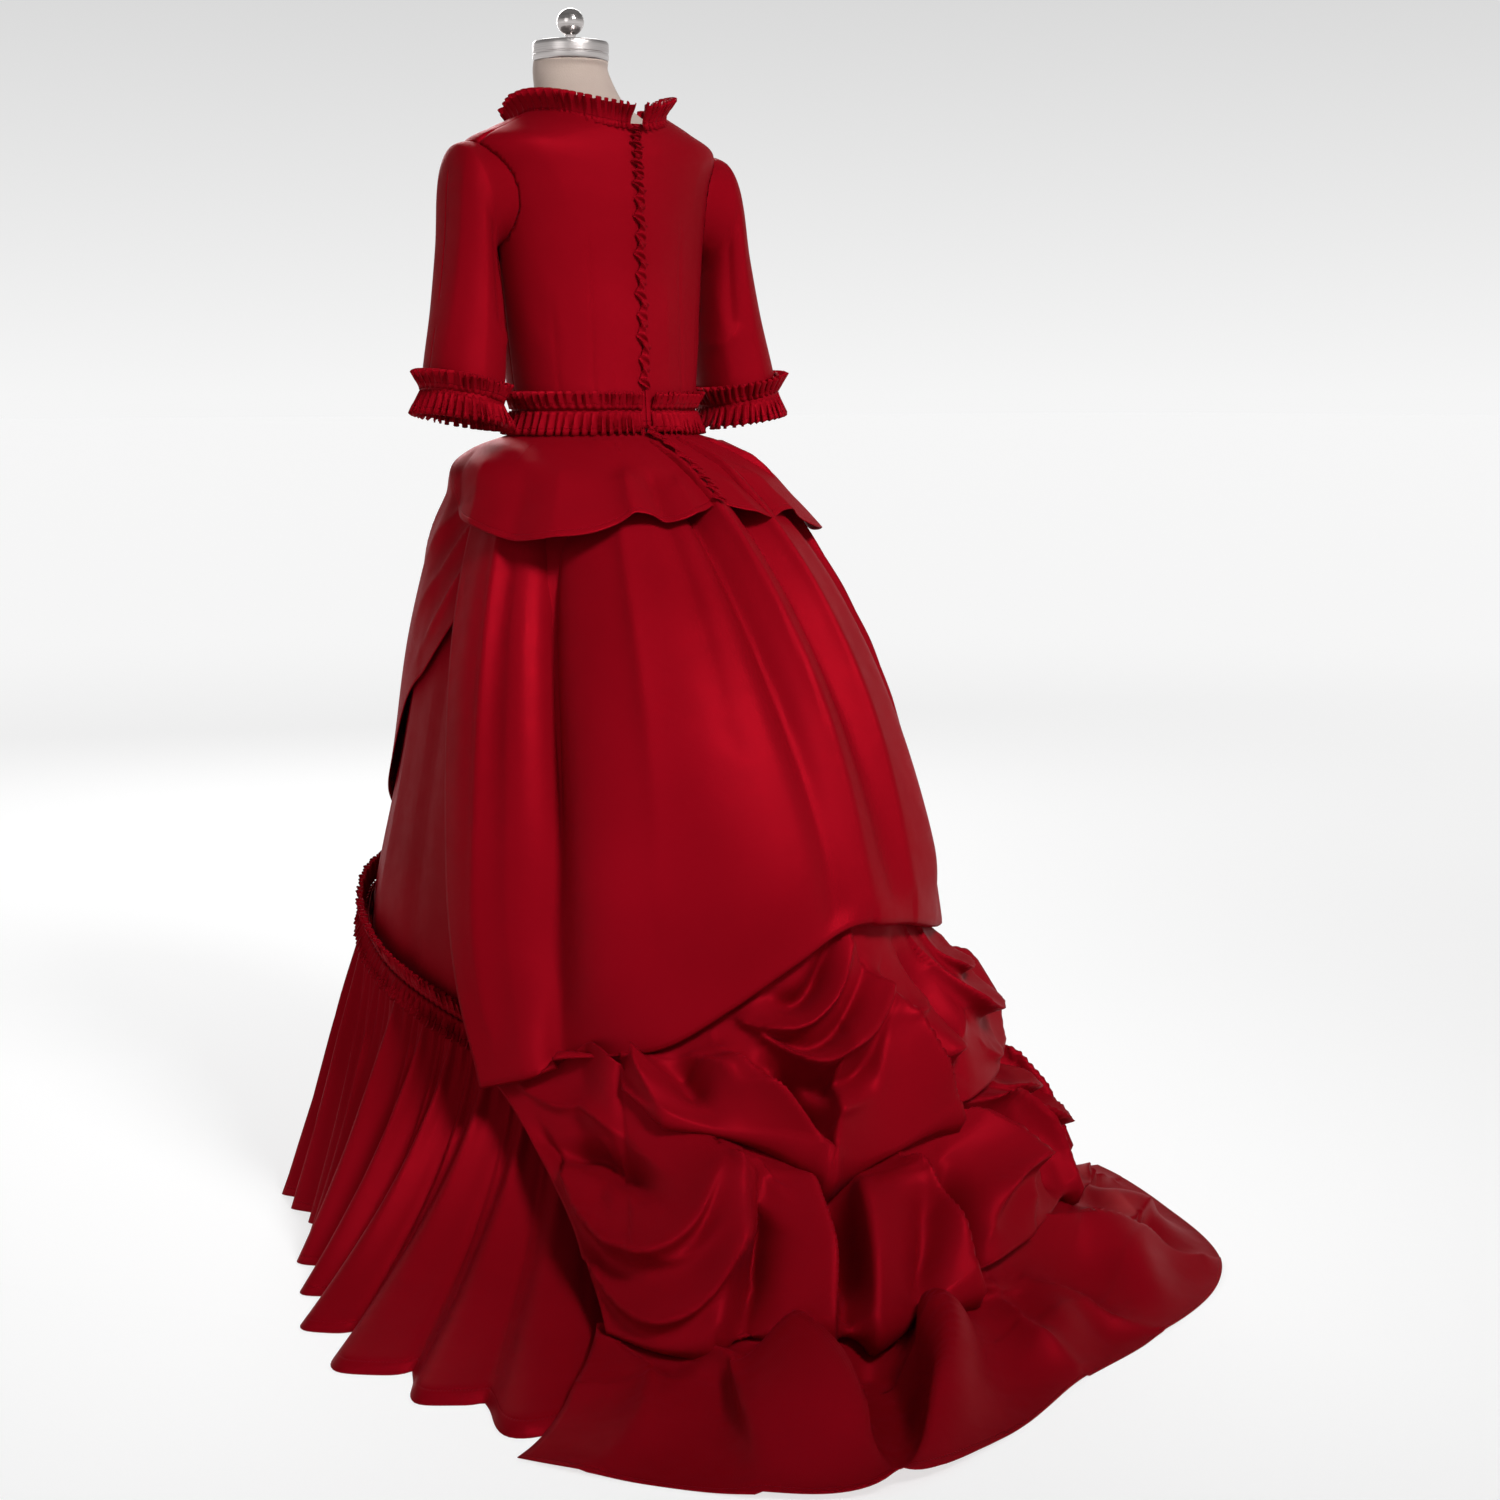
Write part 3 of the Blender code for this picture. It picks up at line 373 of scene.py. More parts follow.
# %% Skirt levels
# Radius of the outer skirt at each height, by bearing.
Level = namedtuple("Level", "height back b30 b60 side b120 b150 front")
OVERSKIRT = (
    Level(1.049, 0.109, 0.114, 0.124, 0.127, 0.108, 0.089, 0.082),
    Level(1.036, 0.140, 0.146, 0.158, 0.164, 0.148, 0.120, 0.108),
    Level(1.020, 0.174, 0.178, 0.186, 0.190, 0.180, 0.155, 0.140),
    Level(0.960, 0.262, 0.250, 0.230, 0.216, 0.210, 0.198, 0.188),
    Level(0.880, 0.350, 0.318, 0.275, 0.248, 0.238, 0.222, 0.212),
    Level(0.800, 0.415, 0.370, 0.312, 0.275, 0.260, 0.242, 0.232),
    Level(0.700, 0.480, 0.420, 0.348, 0.300, 0.280, 0.260, 0.250),
    Level(0.600, 0.528, 0.458, 0.376, 0.320, 0.296, 0.276, 0.267),
    Level(0.500, 0.565, 0.486, 0.398, 0.340, 0.314, 0.294, 0.285),
    Level(0.420, 0.585, 0.496, 0.412, 0.356, 0.330, 0.310, 0.300),
    Level(0.320, 0.600, 0.508, 0.432, 0.380, 0.350, 0.328, 0.318),
    Level(0.240, 0.610, 0.520, 0.455, 0.400, 0.368, 0.345, 0.335),
)
UNDERSKIRT = (
    Level(1.043, 0.102, 0.107, 0.117, 0.120, 0.101, 0.083, 0.077),
    Level(1.026, 0.140, 0.144, 0.152, 0.158, 0.146, 0.122, 0.112),
    Level(1.005, 0.172, 0.172, 0.176, 0.180, 0.172, 0.152, 0.140),
    Level(0.950, 0.240, 0.232, 0.212, 0.202, 0.196, 0.184, 0.174),
    Level(0.800, 0.385, 0.344, 0.292, 0.256, 0.243, 0.225, 0.215),
    Level(0.600, 0.488, 0.424, 0.350, 0.298, 0.279, 0.259, 0.250),
    Level(0.440, 0.495, 0.432, 0.368, 0.330, 0.313, 0.295, 0.286),
    Level(0.250, 0.490, 0.432, 0.378, 0.352, 0.338, 0.322, 0.314),
)


def skirt_radius(levels, bearing, z):
    side = fold_bearing(bearing)
    rings = np.array([between(SIDE_KNOTS, level[1:], side) for level in levels])
    return between([level.height for level in levels], rings, z)


print("skirt levels", len(OVERSKIRT), "and", len(UNDERSKIRT))

# %% [markdown]
# ## Red satin
#
# The dress is a firm, dull satin: deep red, with soft broad highlights, fine warp
# and weft that only show close up, and a little wine-coloured sheen where the
# cloth turns away. The threads follow the cut of each piece, so the weave reads a
# UV map measured in metres along and down the flat piece. Slow noise in Object
# coordinates makes the dye and the gloss uneven, and a hem line of stitches is
# pressed in at a fixed distance from each lower edge, which a second map counts.
# A few small helpers come first, because every finish here is built with them.

# %% Small helpers for materials
NOISE_LOW = 0.3             # noise seldom leaves the range between these two
NOISE_HIGH = 0.7


def add(tree, kind, **settings):
    node = tree.nodes.new(kind)
    for name, value in settings.items():
        setattr(node, name, value)
    return node


def new_material(name):
    """A material with its node tree, its shader and the piece's own coordinates."""
    material = bpy.data.materials.new(name)
    material.use_nodes = True
    tree = material.node_tree
    place = add(tree, "ShaderNodeTexCoord").outputs["Object"]
    return material, tree, tree.nodes["Principled BSDF"], place


def maths(tree, operation, first, second=None):
    node = add(tree, "ShaderNodeMath", operation=operation)
    for slot, value in zip(node.inputs, (first, second)):
        if value is None:
            continue
        if isinstance(value, (int, float)):
            slot.default_value = value
        else:
            tree.links.new(value, slot)
    return node.outputs["Value"]


def noise(tree, coordinates, scale, detail):
    node = add(tree, "ShaderNodeTexNoise")
    node.inputs["Scale"].default_value = scale
    node.inputs["Detail"].default_value = detail
    tree.links.new(coordinates, node.inputs["Vector"])
    return node.outputs["Fac"]


def between_values(tree, value, low, high):
    node = add(tree, "ShaderNodeMapRange")
    node.inputs["To Min"].default_value = low
    node.inputs["To Max"].default_value = high
    node.inputs["From Min"].default_value = NOISE_LOW
    node.inputs["From Max"].default_value = NOISE_HIGH
    tree.links.new(value, node.inputs["Value"])
    return node.outputs["Result"]


def mix_colours(tree, share, first, second):
    node = add(tree, "ShaderNodeMix", data_type="RGBA")
    tree.links.new(share, node.inputs["Factor"])
    for slot, value in (("A", first), ("B", second)):
        socket = [s for s in node.inputs if s.name == slot and s.type == "RGBA"][0]
        if isinstance(value, tuple):
            socket.default_value = value
        else:
            tree.links.new(value, socket)
    return [s for s in node.outputs if s.type == "RGBA"][0]


def press(tree, height, distance, before=None):
    node = add(tree, "ShaderNodeBump")
    node.inputs["Distance"].default_value = distance
    tree.links.new(height, node.inputs["Height"])
    if before is not None:
        tree.links.new(before, node.inputs["Normal"])
    return node.outputs["Normal"]


print("noise is read from", NOISE_LOW, "to", NOISE_HIGH)

# %% [markdown]
# ## Threads and stitches
#
# The weave is worked out from the map in metres: long warp threads, crossed by a
# weft. A row of stitches is a narrow groove along the hem line, with a small bead
# of thread at each stitch. Both are heights for a Bump node to press in, because a
# thread is far too small to model.

# %% Threads and stitches
THREADS = 2200.0            # warp threads to the metre
STITCHES = 380.0            # stitches to the metre
HEM_LINE = 0.009            # a hem's stitches, this far from the edge
GROOVE_SLOPE = 900.0        # the groove they pull is gone 1/900 of a metre away


def thread_heights(tree, along, down):
    """Satin floats: long warp threads, crossed by a weft that shows as small dips."""
    warp = maths(tree, "SINE", maths(tree, "MULTIPLY", along, THREADS * math.pi))
    step = maths(tree, "MULTIPLY", along, THREADS * 0.4 * math.pi)
    weft = maths(tree, "SINE", maths(tree, "ADD", maths(tree, "MULTIPLY", down, THREADS), step))
    return maths(tree, "ADD", maths(tree, "MULTIPLY", warp, 0.6), maths(tree, "MULTIPLY", weft, 0.4))


def stitch_row(tree, along, from_edge):
    """A groove at the hem line with a bead of thread at each stitch."""
    off = maths(tree, "ABSOLUTE", maths(tree, "SUBTRACT", from_edge, HEM_LINE))
    near = maths(tree, "SUBTRACT", 1.0, maths(tree, "MULTIPLY", off, GROOVE_SLOPE))
    groove = maths(tree, "MAXIMUM", near, 0.0)
    bead = maths(tree, "SINE", maths(tree, "MULTIPLY", along, STITCHES * 2.0 * math.pi))
    raised = maths(tree, "ADD", maths(tree, "MULTIPLY", bead, 0.5), -0.8)
    return maths(tree, "MULTIPLY", groove, raised)


print("threads to the metre", THREADS, "and stitches", STITCHES)

# %% [markdown]
# ## The satin itself
#
# Slow noise mixes two reds, as an uneven dye does, and finer noise varies the gloss.
# The dyed floats mirror a little light in their own red, so the shader is partly
# metallic with a red tint, and a faint sheen shows where the cloth turns away. The
# gathered pieces get the same cloth, a little less glossy.

# %% Make the satin
SATIN_DEEP = (0.150, 0.0010, 0.0040, 1.0)
SATIN_LIT = (0.218, 0.0018, 0.0070, 1.0)
SATIN_WINE = (0.80, 0.10, 0.20, 1.0)
SATIN_GLOSS = (1.0, 0.14, 0.20, 1.0)
SATIN_FLOAT = 0.20          # share of the light that the dyed floats mirror in their own red
DYE_SCALE = 3.2             # patches of uneven dye, a hand wide
CREASE_SCALE = 16.0         # soft creases
FINE_SCALE = 38.0           # and the small unevenness of a pressed cloth


def make_satin(name, roughness, sheen):
    material, tree, shader, place = new_material(name)
    cut = add(tree, "ShaderNodeSeparateXYZ")
    tree.links.new(add(tree, "ShaderNodeUVMap", uv_map="cut").outputs["UV"], cut.inputs[0])
    edge = add(tree, "ShaderNodeSeparateXYZ")
    tree.links.new(add(tree, "ShaderNodeUVMap", uv_map="edge").outputs["UV"], edge.inputs[0])
    slow = noise(tree, place, DYE_SCALE, 3.0)
    fine = noise(tree, place, FINE_SCALE, 3.0)
    share = between_values(tree, slow, 0.15, 0.85)
    colour = mix_colours(tree, share, SATIN_DEEP, SATIN_LIT)
    stitches = stitch_row(tree, edge.outputs["X"], edge.outputs["Y"])
    threads = thread_heights(tree, cut.outputs["X"], cut.outputs["Y"])
    shade = maths(tree, "ADD", 0.5, maths(tree, "MULTIPLY", threads, 0.10))
    colour = mix_colours(tree, maths(tree, "MULTIPLY", shade, 0.16), colour, SATIN_DEEP)
    tree.links.new(colour, shader.inputs["Base Color"])
    gloss = between_values(tree, fine, roughness - 0.035, roughness + 0.045)
    tree.links.new(gloss, shader.inputs["Roughness"])
    normal = press(tree, noise(tree, place, CREASE_SCALE, 2.0), 0.0007)
    normal = press(tree, fine, 0.00035, normal)
    normal = press(tree, threads, 0.00006, normal)
    normal = press(tree, stitches, 0.0007, normal)
    tree.links.new(normal, shader.inputs["Normal"])
    shader.inputs["Metallic"].default_value = SATIN_FLOAT
    shader.inputs["Specular IOR Level"].default_value = 0.02
    shader.inputs["Specular Tint"].default_value = SATIN_GLOSS
    shader.inputs["Sheen Weight"].default_value = sheen
    shader.inputs["Sheen Roughness"].default_value = 0.35
    shader.inputs["Sheen Tint"].default_value = SATIN_WINE
    return material


satin = make_satin("red_satin", 0.42, 0.015)
frill_satin = make_satin("red_satin_gathered", 0.46, 0.015)
print("satin nodes", len(satin.node_tree.nodes))

# %% [markdown]
# ## A sheet of cloth from a grid
#
# Every cut piece starts as a flat grid. Its points are counted across (u) and down
# (t), laid on the piece's shape, and then creased. The wall is added afterwards by
# a Solidify modifier, inwards, so the outside stays where the pattern says.
#
# A fold is drawn on the flat piece as a curve through three points. The cloth is
# lifted along it and may lean over to one side, as heavy folds do: that side is
# steep and the other one gentle. A height below zero is a trough. Start and end say
# how much of the height is left at the curve's two ends.

# %% Folds on a sheet
CLOTH = 0.0011              # satin and lining together
FLOOR_GAP = 0.0006
FOLD_STEPS = 14
RIDGE_POWER = 1.28          # a ridge is crisp along its top
TROUGH_POWER = 1.7          # and a trough is round
FOLD_FADE = 0.35            # share of a fold's run over which it rises from each end
LEAN_REACH = 0.8            # how far a fold leans over, for its height
WELD_GAP = 0.00005
Cut = namedtuple("Cut", "width length")
Fold = namedtuple("Fold", "u0 t0 u1 t1 u2 t2 width height lean start end")


def surface_axes(points, columns, rows, mirrored):
    """Unit vectors across, down and out of a sheet at each of its points."""
    grid = points.reshape(rows + 1, columns + 1, 3)
    across = np.gradient(grid, axis=1).reshape(-1, 3)
    down = -np.gradient(grid, axis=0).reshape(-1, 3)
    out = np.cross(down, across)
    if mirrored:
        out = -out
    axes = []
    for axis in (across, down, out):
        length = np.linalg.norm(axis, axis=1, keepdims=True)
        axes.append(axis / np.maximum(length, 1e-9))
    return axes


def fold_curve(fold, cut):
    s = np.linspace(0.0, 1.0, FOLD_STEPS + 1)
    lines = []
    for first, middle, last, size in (
        (fold.u0, fold.u1, fold.u2, cut.width),
        (fold.t0, fold.t1, fold.t2, cut.length),
    ):
        pull = 2.0 * middle - 0.5 * (first + last)
        lines.append(((1 - s) ** 2 * first + 2 * s * (1 - s) * pull + s**2 * last) * size)
    return np.stack(lines, axis=1)


def near_curve(curve, flat):
    """Distance to a curve (negative on its right), its side, and how far along it is."""
    best = np.full(len(flat), 1e9)
    signed = np.zeros(len(flat))
    along = np.zeros(len(flat))
    side = np.zeros((len(flat), 2))
    for j in range(len(curve) - 1):
        run = curve[j + 1] - curve[j]
        length = max(np.hypot(*run), 1e-9)
        normal = np.array((-run[1], run[0])) / length
        off = flat - curve[j]
        share = np.clip(off @ run / length**2, 0.0, 1.0)
        away = np.linalg.norm(off - share[:, None] * run, axis=1)
        closer = away < best
        best = np.where(closer, away, best)
        signed = np.where(closer, np.where(off @ normal < 0.0, -away, away), signed)
        along = np.where(closer, (j + share) / (len(curve) - 1), along)
        side[closer] = normal
    return signed, along, side


def crease(points, u, t, cut, folds, columns, rows, mirrored):
    """Lift a sheet along its folds; a leaning fold is steep in front and long behind."""
    across, down, out = surface_axes(points, columns, rows, mirrored)
    flat = np.stack((u * cut.width, t * cut.length), axis=1)
    moved = points.copy()
    for fold in folds:
        away, along, side = near_curve(fold_curve(fold, cut), flat)
        steep = 1.0 - 0.5 * abs(fold.lean)
        gentle = 1.0 + 1.3 * abs(fold.lean)
        width = fold.width * np.where(away * fold.lean > 0.0, steep, gentle)
        power = RIDGE_POWER if fold.height > 0.0 else TROUGH_POWER
        lift = fold.height * np.exp(-((np.abs(away) / width) ** power))
        lift *= fold.start + (1.0 - fold.start) * ease(along / FOLD_FADE)
        lift *= fold.end + (1.0 - fold.end) * ease((1.0 - along) / FOLD_FADE)
        lean = (across * side[:, :1] + down * side[:, 1:]) * LEAN_REACH * fold.lean
        moved += out * lift[:, None] + lean * np.abs(lift)[:, None]
    moved[:, 2] = np.maximum(moved[:, 2], CLOTH + FLOOR_GAP)
    return moved


print("a fold is drawn in", FOLD_STEPS, "steps")

# %% [markdown]
# ## The sheet itself
#
# create_grid makes the flat piece. Its points are then moved onto the shape all at
# once, because a sheet has tens of thousands of them. Two UV maps keep where each
# point was on the cut, in metres: one counts from the top edge, the other from the
# hem. Where a piece closes round the body, its two edges are welded.

# %% Make and finish a sheet
def sheet_object(name, columns, rows, place, cut, folds=(), mirrored=False, weld=False):
    """A soft sheet on the shape place(u, t), with its UV maps in metres."""
    mesh = bpy.data.meshes.new(name)
    shape = bmesh.new()
    shape.loops.layers.uv.new("cut")
    bmesh.ops.create_grid(shape, x_segments=columns, y_segments=rows, size=0.5, calc_uvs=True)
    shape.to_mesh(mesh)
    shape.free()
    flat = np.empty(len(mesh.vertices) * 3)
    mesh.vertices.foreach_get("co", flat)
    flat = flat.reshape(-1, 3)
    u, t = flat[:, 0] + 0.5, 0.5 - flat[:, 1]
    points = place(u, t)
    if folds:
        points = crease(points, u, t, cut, folds, columns, rows, mirrored)
    mesh.vertices.foreach_set("co", points.ravel())
    corners = np.empty(len(mesh.loops), dtype=int)
    mesh.loops.foreach_get("vertex_index", corners)
    maps = {
        "cut": np.stack((u * cut.width, t * cut.length), axis=1),
        "edge": np.stack((u * cut.width, (1.0 - t) * cut.length), axis=1),
    }
    for title, values in maps.items():
        layer = mesh.uv_layers.get(title) or mesh.uv_layers.new(name=title)
        layer.data.foreach_set("uv", values[corners].ravel())
    shape = bmesh.new()
    shape.from_mesh(mesh)
    if weld:
        bmesh.ops.remove_doubles(shape, verts=shape.verts[:], dist=WELD_GAP)
    if mirrored:
        bmesh.ops.reverse_faces(shape, faces=shape.faces[:])
    for face in shape.faces:
        face.smooth = True
    shape.to_mesh(mesh)
    shape.free()
    piece = bpy.data.objects.new(name, mesh)
    bpy.context.scene.collection.objects.link(piece)
    return piece


def finish_cloth(piece, node, finish=None, wall=CLOTH):
    """Give a sheet its wall and finish, attach it to the root and hide the CAD part that it replaces.
    """
    if wall:
        wall_modifier = piece.modifiers.new("wall", "SOLIDIFY")
        wall_modifier.thickness = wall
        wall_modifier.offset = -1.0
    piece.data.materials.append(finish or satin)
    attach(piece, "root")
    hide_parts(node)
    return piece


print("a cut piece is", CLOTH * 1000.0, "mm thick")


# %% [markdown]
# ## The dress form
#
# Only the neck of the form shows above the frill: jersey stretched over a padded
# body, a round steel cap and a turned knob. The jersey is ribbed and a little worn.
# The steel was brushed while it turned, so its streaks run round the axis and change
# only with the height.

# %% Form materials
COVER_PALE = (0.40, 0.32, 0.275, 1.0)
COVER_DARK = (0.34, 0.265, 0.23, 1.0)
STEEL_LIGHT = (0.62, 0.58, 0.57, 1.0)
STEEL_DARK = (0.42, 0.39, 0.38, 1.0)


def scaled(tree, coordinates, scale):
    node = add(tree, "ShaderNodeMapping")
    node.inputs["Scale"].default_value = scale
    tree.links.new(coordinates, node.inputs["Vector"])
    return node.outputs["Vector"]


def make_jersey():
    material, tree, shader, place = new_material("form_jersey")
    ribs = noise(tree, scaled(tree, place, (1.0, 1.0, 0.35)), 700.0, 1.0)
    worn = between_values(tree, noise(tree, place, 9.0, 4.0), 0.0, 1.0)
    colour = mix_colours(tree, worn, COVER_PALE, COVER_DARK)
    tree.links.new(colour, shader.inputs["Base Color"])
    tree.links.new(between_values(tree, ribs, 0.82, 0.94), shader.inputs["Roughness"])
    tree.links.new(press(tree, ribs, 0.0003), shader.inputs["Normal"])
    shader.inputs["Specular IOR Level"].default_value = 0.2
    shader.inputs["Sheen Weight"].default_value = 0.15
    shader.inputs["Sheen Roughness"].default_value = 0.5
    return material


def make_steel(name, roughness, grain):
    """Steel with streaks round its axis; grain says how many there are to the metre."""
    material, tree, shader, place = new_material(name)
    streaks = noise(tree, scaled(tree, place, (4.0, 4.0, grain)), 1.0, 4.0)
    marks = noise(tree, place, 60.0, 4.0)
    share = between_values(tree, streaks, 0.0, 1.0)
    tree.links.new(mix_colours(tree, share, STEEL_LIGHT, STEEL_DARK), shader.inputs["Base Color"])
    rough = maths(tree, "ADD", between_values(tree, streaks, roughness - 0.05, roughness + 0.07),
                  maths(tree, "MULTIPLY", marks, 0.05))
    tree.links.new(rough, shader.inputs["Roughness"])
    tree.links.new(press(tree, streaks, 0.0001), shader.inputs["Normal"])
    shader.inputs["Metallic"].default_value = 1.0
    return material


jersey = make_jersey()
brushed_steel = make_steel("brushed_steel", 0.30, 1500.0)
polished_steel = make_steel("polished_steel", 0.16, 500.0)
print("form finishes", jersey.name, brushed_steel.name, polished_steel.name)

# %% [markdown]
# ## A padded body and lathe work
#
# The torso is a stack of ovals, closed at both ends. The cap, the knob, the pole and
# the base were turned on a lathe, so each one is half an outline of a few points,
# from the top down, spun once round its own axis. The points that a spin leaves on
# the axis are merged, and the normals are worked out again afterwards.

# %% Build the form
TURNED_STEPS = 96
TURNED_WELD = 0.00002
CREASE_ANGLE = 40.0         # a turned edge sharper than this stays crisp
CAP_Y = -0.068              # the neck leans forwards from the pole
TORSO_MAP = Cut(0.9, 0.75)  # only for its UV maps: the body isn't a sheet
TurnedPoint = namedtuple("TurnedPoint", "radius height")
NECK_CAP = (
    TurnedPoint(0.0, 1.5720),
    TurnedPoint(0.0470, 1.5720),
    TurnedPoint(0.0498, 1.5712),
    TurnedPoint(0.0512, 1.5690),
    TurnedPoint(0.0515, 1.5650),
    TurnedPoint(0.0515, 1.5568),
    TurnedPoint(0.0508, 1.5560),
    TurnedPoint(0.0508, 1.5548),
    TurnedPoint(0.0515, 1.5540),
    TurnedPoint(0.0515, 1.5476),
    TurnedPoint(0.0505, 1.5462),
    TurnedPoint(0.0, 1.5462),
)
KNOB = (
    TurnedPoint(0.0, 1.6165),
    TurnedPoint(0.0048, 1.6158),
    TurnedPoint(0.0093, 1.6140),
    TurnedPoint(0.0131, 1.6111),
    TurnedPoint(0.0160, 1.6073),
    TurnedPoint(0.0179, 1.6028),
    TurnedPoint(0.0185, 1.5980),
    TurnedPoint(0.0179, 1.5932),
    TurnedPoint(0.0160, 1.5887),
    TurnedPoint(0.0131, 1.5849),
    TurnedPoint(0.0100, 1.5826),
    TurnedPoint(0.0074, 1.5810),
    TurnedPoint(0.0070, 1.5790),
    TurnedPoint(0.0070, 1.5748),
    TurnedPoint(0.0098, 1.5738),
    TurnedPoint(0.0102, 1.5726),
    TurnedPoint(0.0, 1.5724),
)
POLE = (
    TurnedPoint(0.0, 0.7744),
    TurnedPoint(0.0115, 0.7744),
    TurnedPoint(0.0125, 0.7734),
    TurnedPoint(0.0125, 0.0114),
    TurnedPoint(0.0118, 0.0106),
    TurnedPoint(0.0, 0.0106),
)
BASE = (
    TurnedPoint(0.0, 0.0100),
    TurnedPoint(0.1640, 0.0100),
    TurnedPoint(0.1675, 0.0092),
    TurnedPoint(0.1695, 0.0076),
    TurnedPoint(0.1700, 0.0055),
    TurnedPoint(0.1700, 0.0010),
    TurnedPoint(0.1690, 0.0),
    TurnedPoint(0.0, 0.0),
)


def turned_piece(name, outline, centre_y, finish, node):
    mesh = bpy.data.meshes.new(name)
    shape = bmesh.new()
    verts = [bmesh.ops.create_vert(shape, co=(p.radius, 0.0, p.height))["vert"][0] for p in outline]
    edges = [shape.edges.new(pair) for pair in zip(verts, verts[1:])]
    bmesh.ops.spin(
        shape, geom=verts + edges, cent=(0.0, 0.0, 0.0), axis=(0.0, 0.0, 1.0),
        angle=2.0 * math.pi, steps=TURNED_STEPS, use_merge=True,
    )
    bmesh.ops.remove_doubles(shape, verts=shape.verts[:], dist=TURNED_WELD)
    bmesh.ops.translate(shape, verts=shape.verts[:], vec=(0.0, centre_y, 0.0))
    bmesh.ops.recalc_face_normals(shape, faces=shape.faces[:])
    for face in shape.faces:
        face.smooth = True
    shape.to_mesh(mesh)
    shape.free()
    mesh.set_sharp_from_angle(angle=math.radians(CREASE_ANGLE))
    piece = bpy.data.objects.new(name, mesh)
    bpy.context.scene.collection.objects.link(piece)
    piece.data.materials.append(finish)
    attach(piece, "root")
    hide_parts(node)


torso = sheet_object("jersey_torso", 96, 72, form_point, TORSO_MAP, weld=True)
shape = bmesh.new()
shape.from_mesh(torso.data)
bmesh.ops.holes_fill(shape, edges=shape.edges[:], sides=0)
bmesh.ops.recalc_face_normals(shape, faces=shape.faces[:])
shape.to_mesh(torso.data)
shape.free()
torso.data.materials.append(jersey)
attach(torso, "root")
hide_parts("form_torso")
turned_piece("neck_cap", NECK_CAP, CAP_Y, brushed_steel, "form_neck_cap")
turned_piece("neck_knob", KNOB, CAP_Y, polished_steel, "form_knob")
turned_piece("stand_pole", POLE, 0.0, brushed_steel, "form_pole")
turned_piece("stand_base", BASE, 0.0, brushed_steel, "form_base")
print("form box", [round(value, 3) for value in torso.dimensions])

# %% [markdown]
# ## The bodice
#
# The bodice is cut with a front in one piece and two backs. The front has two waist
# darts, and so has each back. A dart is a narrow trough that runs out to nothing.
# Where the arm pulls, shallow drag folds run from the armhole towards the waist.
#
# The armhole is cut by removing the faces inside an oval, and then pulling the
# torn edge out onto the oval.

# %% Bodice
ARMHOLE_Y = -0.022
ARMHOLE_Z = 1.357
ARMHOLE_DEPTH = 0.1208      # full width of the armhole front to back
ARMHOLE_HEIGHT = 0.1398
ARMHOLE_INNER_X = 0.120     # nearer to the pole than this nothing is cut
FAR_OUTSIDE = 9.0
TORN_FROM = 0.75            # sizes of the oval between which a torn edge lies
TORN_TO = 1.25
BODICE_ROWS = 76
BACK_CUT = Cut(0.235, 0.400)
FRONT_CUT = Cut(0.500, 0.395)
SIDE = 90.0
SEAM_TURN = 0.15            # a side seam's half gap, in degrees round the body
BACK_TURN = 0.25            # and the back opening's
# u0 t0 u1 t1 u2 t2 width height lean start end
BACK_FOLDS = (
    Fold(0.54, 0.42, 0.57, 0.72, 0.60, 1.00, 0.0042, -0.0011, 0.0, 0.0, 1.0),
    Fold(0.30, 0.62, 0.34, 0.82, 0.38, 1.00, 0.0042, -0.0008, 0.0, 0.0, 1.0),
    Fold(0.20, 0.58, 0.34, 0.70, 0.46, 0.86, 0.0240, 0.0018, 0.2, 0.3, 0.0),
    Fold(0.14, 0.70, 0.30, 0.80, 0.52, 0.90, 0.0180, 0.0015, -0.2, 0.3, 0.0),
    Fold(0.10, 0.93, 0.45, 0.90, 0.90, 0.93, 0.0110, 0.0013, 0.0, 0.2, 0.2),
    Fold(0.24, 0.28, 0.36, 0.36, 0.42, 0.50, 0.0200, 0.0014, 0.0, 0.3, 0.0),
    Fold(0.62, 0.18, 0.78, 0.22, 0.95, 0.20, 0.0220, 0.0012, 0.0, 0.0, 0.2),
    Fold(0.70, 0.60, 0.74, 0.78, 0.76, 0.98, 0.0200, 0.0014, 0.0, 0.0, 0.6),
)
FRONT_FOLDS = (
    Fold(0.30, 0.55, 0.31, 0.80, 0.33, 1.00, 0.0042, -0.0010, 0.0, 0.0, 1.0),
    Fold(0.70, 0.55, 0.69, 0.80, 0.67, 1.00, 0.0042, -0.0010, 0.0, 0.0, 1.0),
    Fold(0.12, 0.48, 0.20, 0.45, 0.29, 0.47, 0.0160, 0.0016, 0.0, 0.3, 0.0),
    Fold(0.88, 0.50, 0.79, 0.45, 0.72, 0.46, 0.0160, 0.0015, 0.0, 0.3, 0.0),
    Fold(0.10, 0.66, 0.20, 0.78, 0.30, 0.88, 0.0180, 0.0015, 0.0, 0.2, 0.0),
    Fold(0.91, 0.64, 0.82, 0.77, 0.71, 0.90, 0.0180, 0.0015, 0.0, 0.2, 0.0),
    Fold(0.36, 0.92, 0.50, 0.90, 0.63, 0.93, 0.0120, 0.0012, 0.0, 0.0, 0.0),
)


def mirrored_folds(folds):
    """The same folds on the wearer's other side, a little weaker or stronger."""
    changed = []
    for i, fold in enumerate(folds):
        share = 1.0 + 0.15 * math.sin(2.7 * i + 1.0)
        changed.append(fold._replace(
            u0=1.0 - fold.u0, u1=1.0 - fold.u1, u2=1.0 - fold.u2,
            height=fold.height * share, lean=-fold.lean,
        ))
    return tuple(changed)


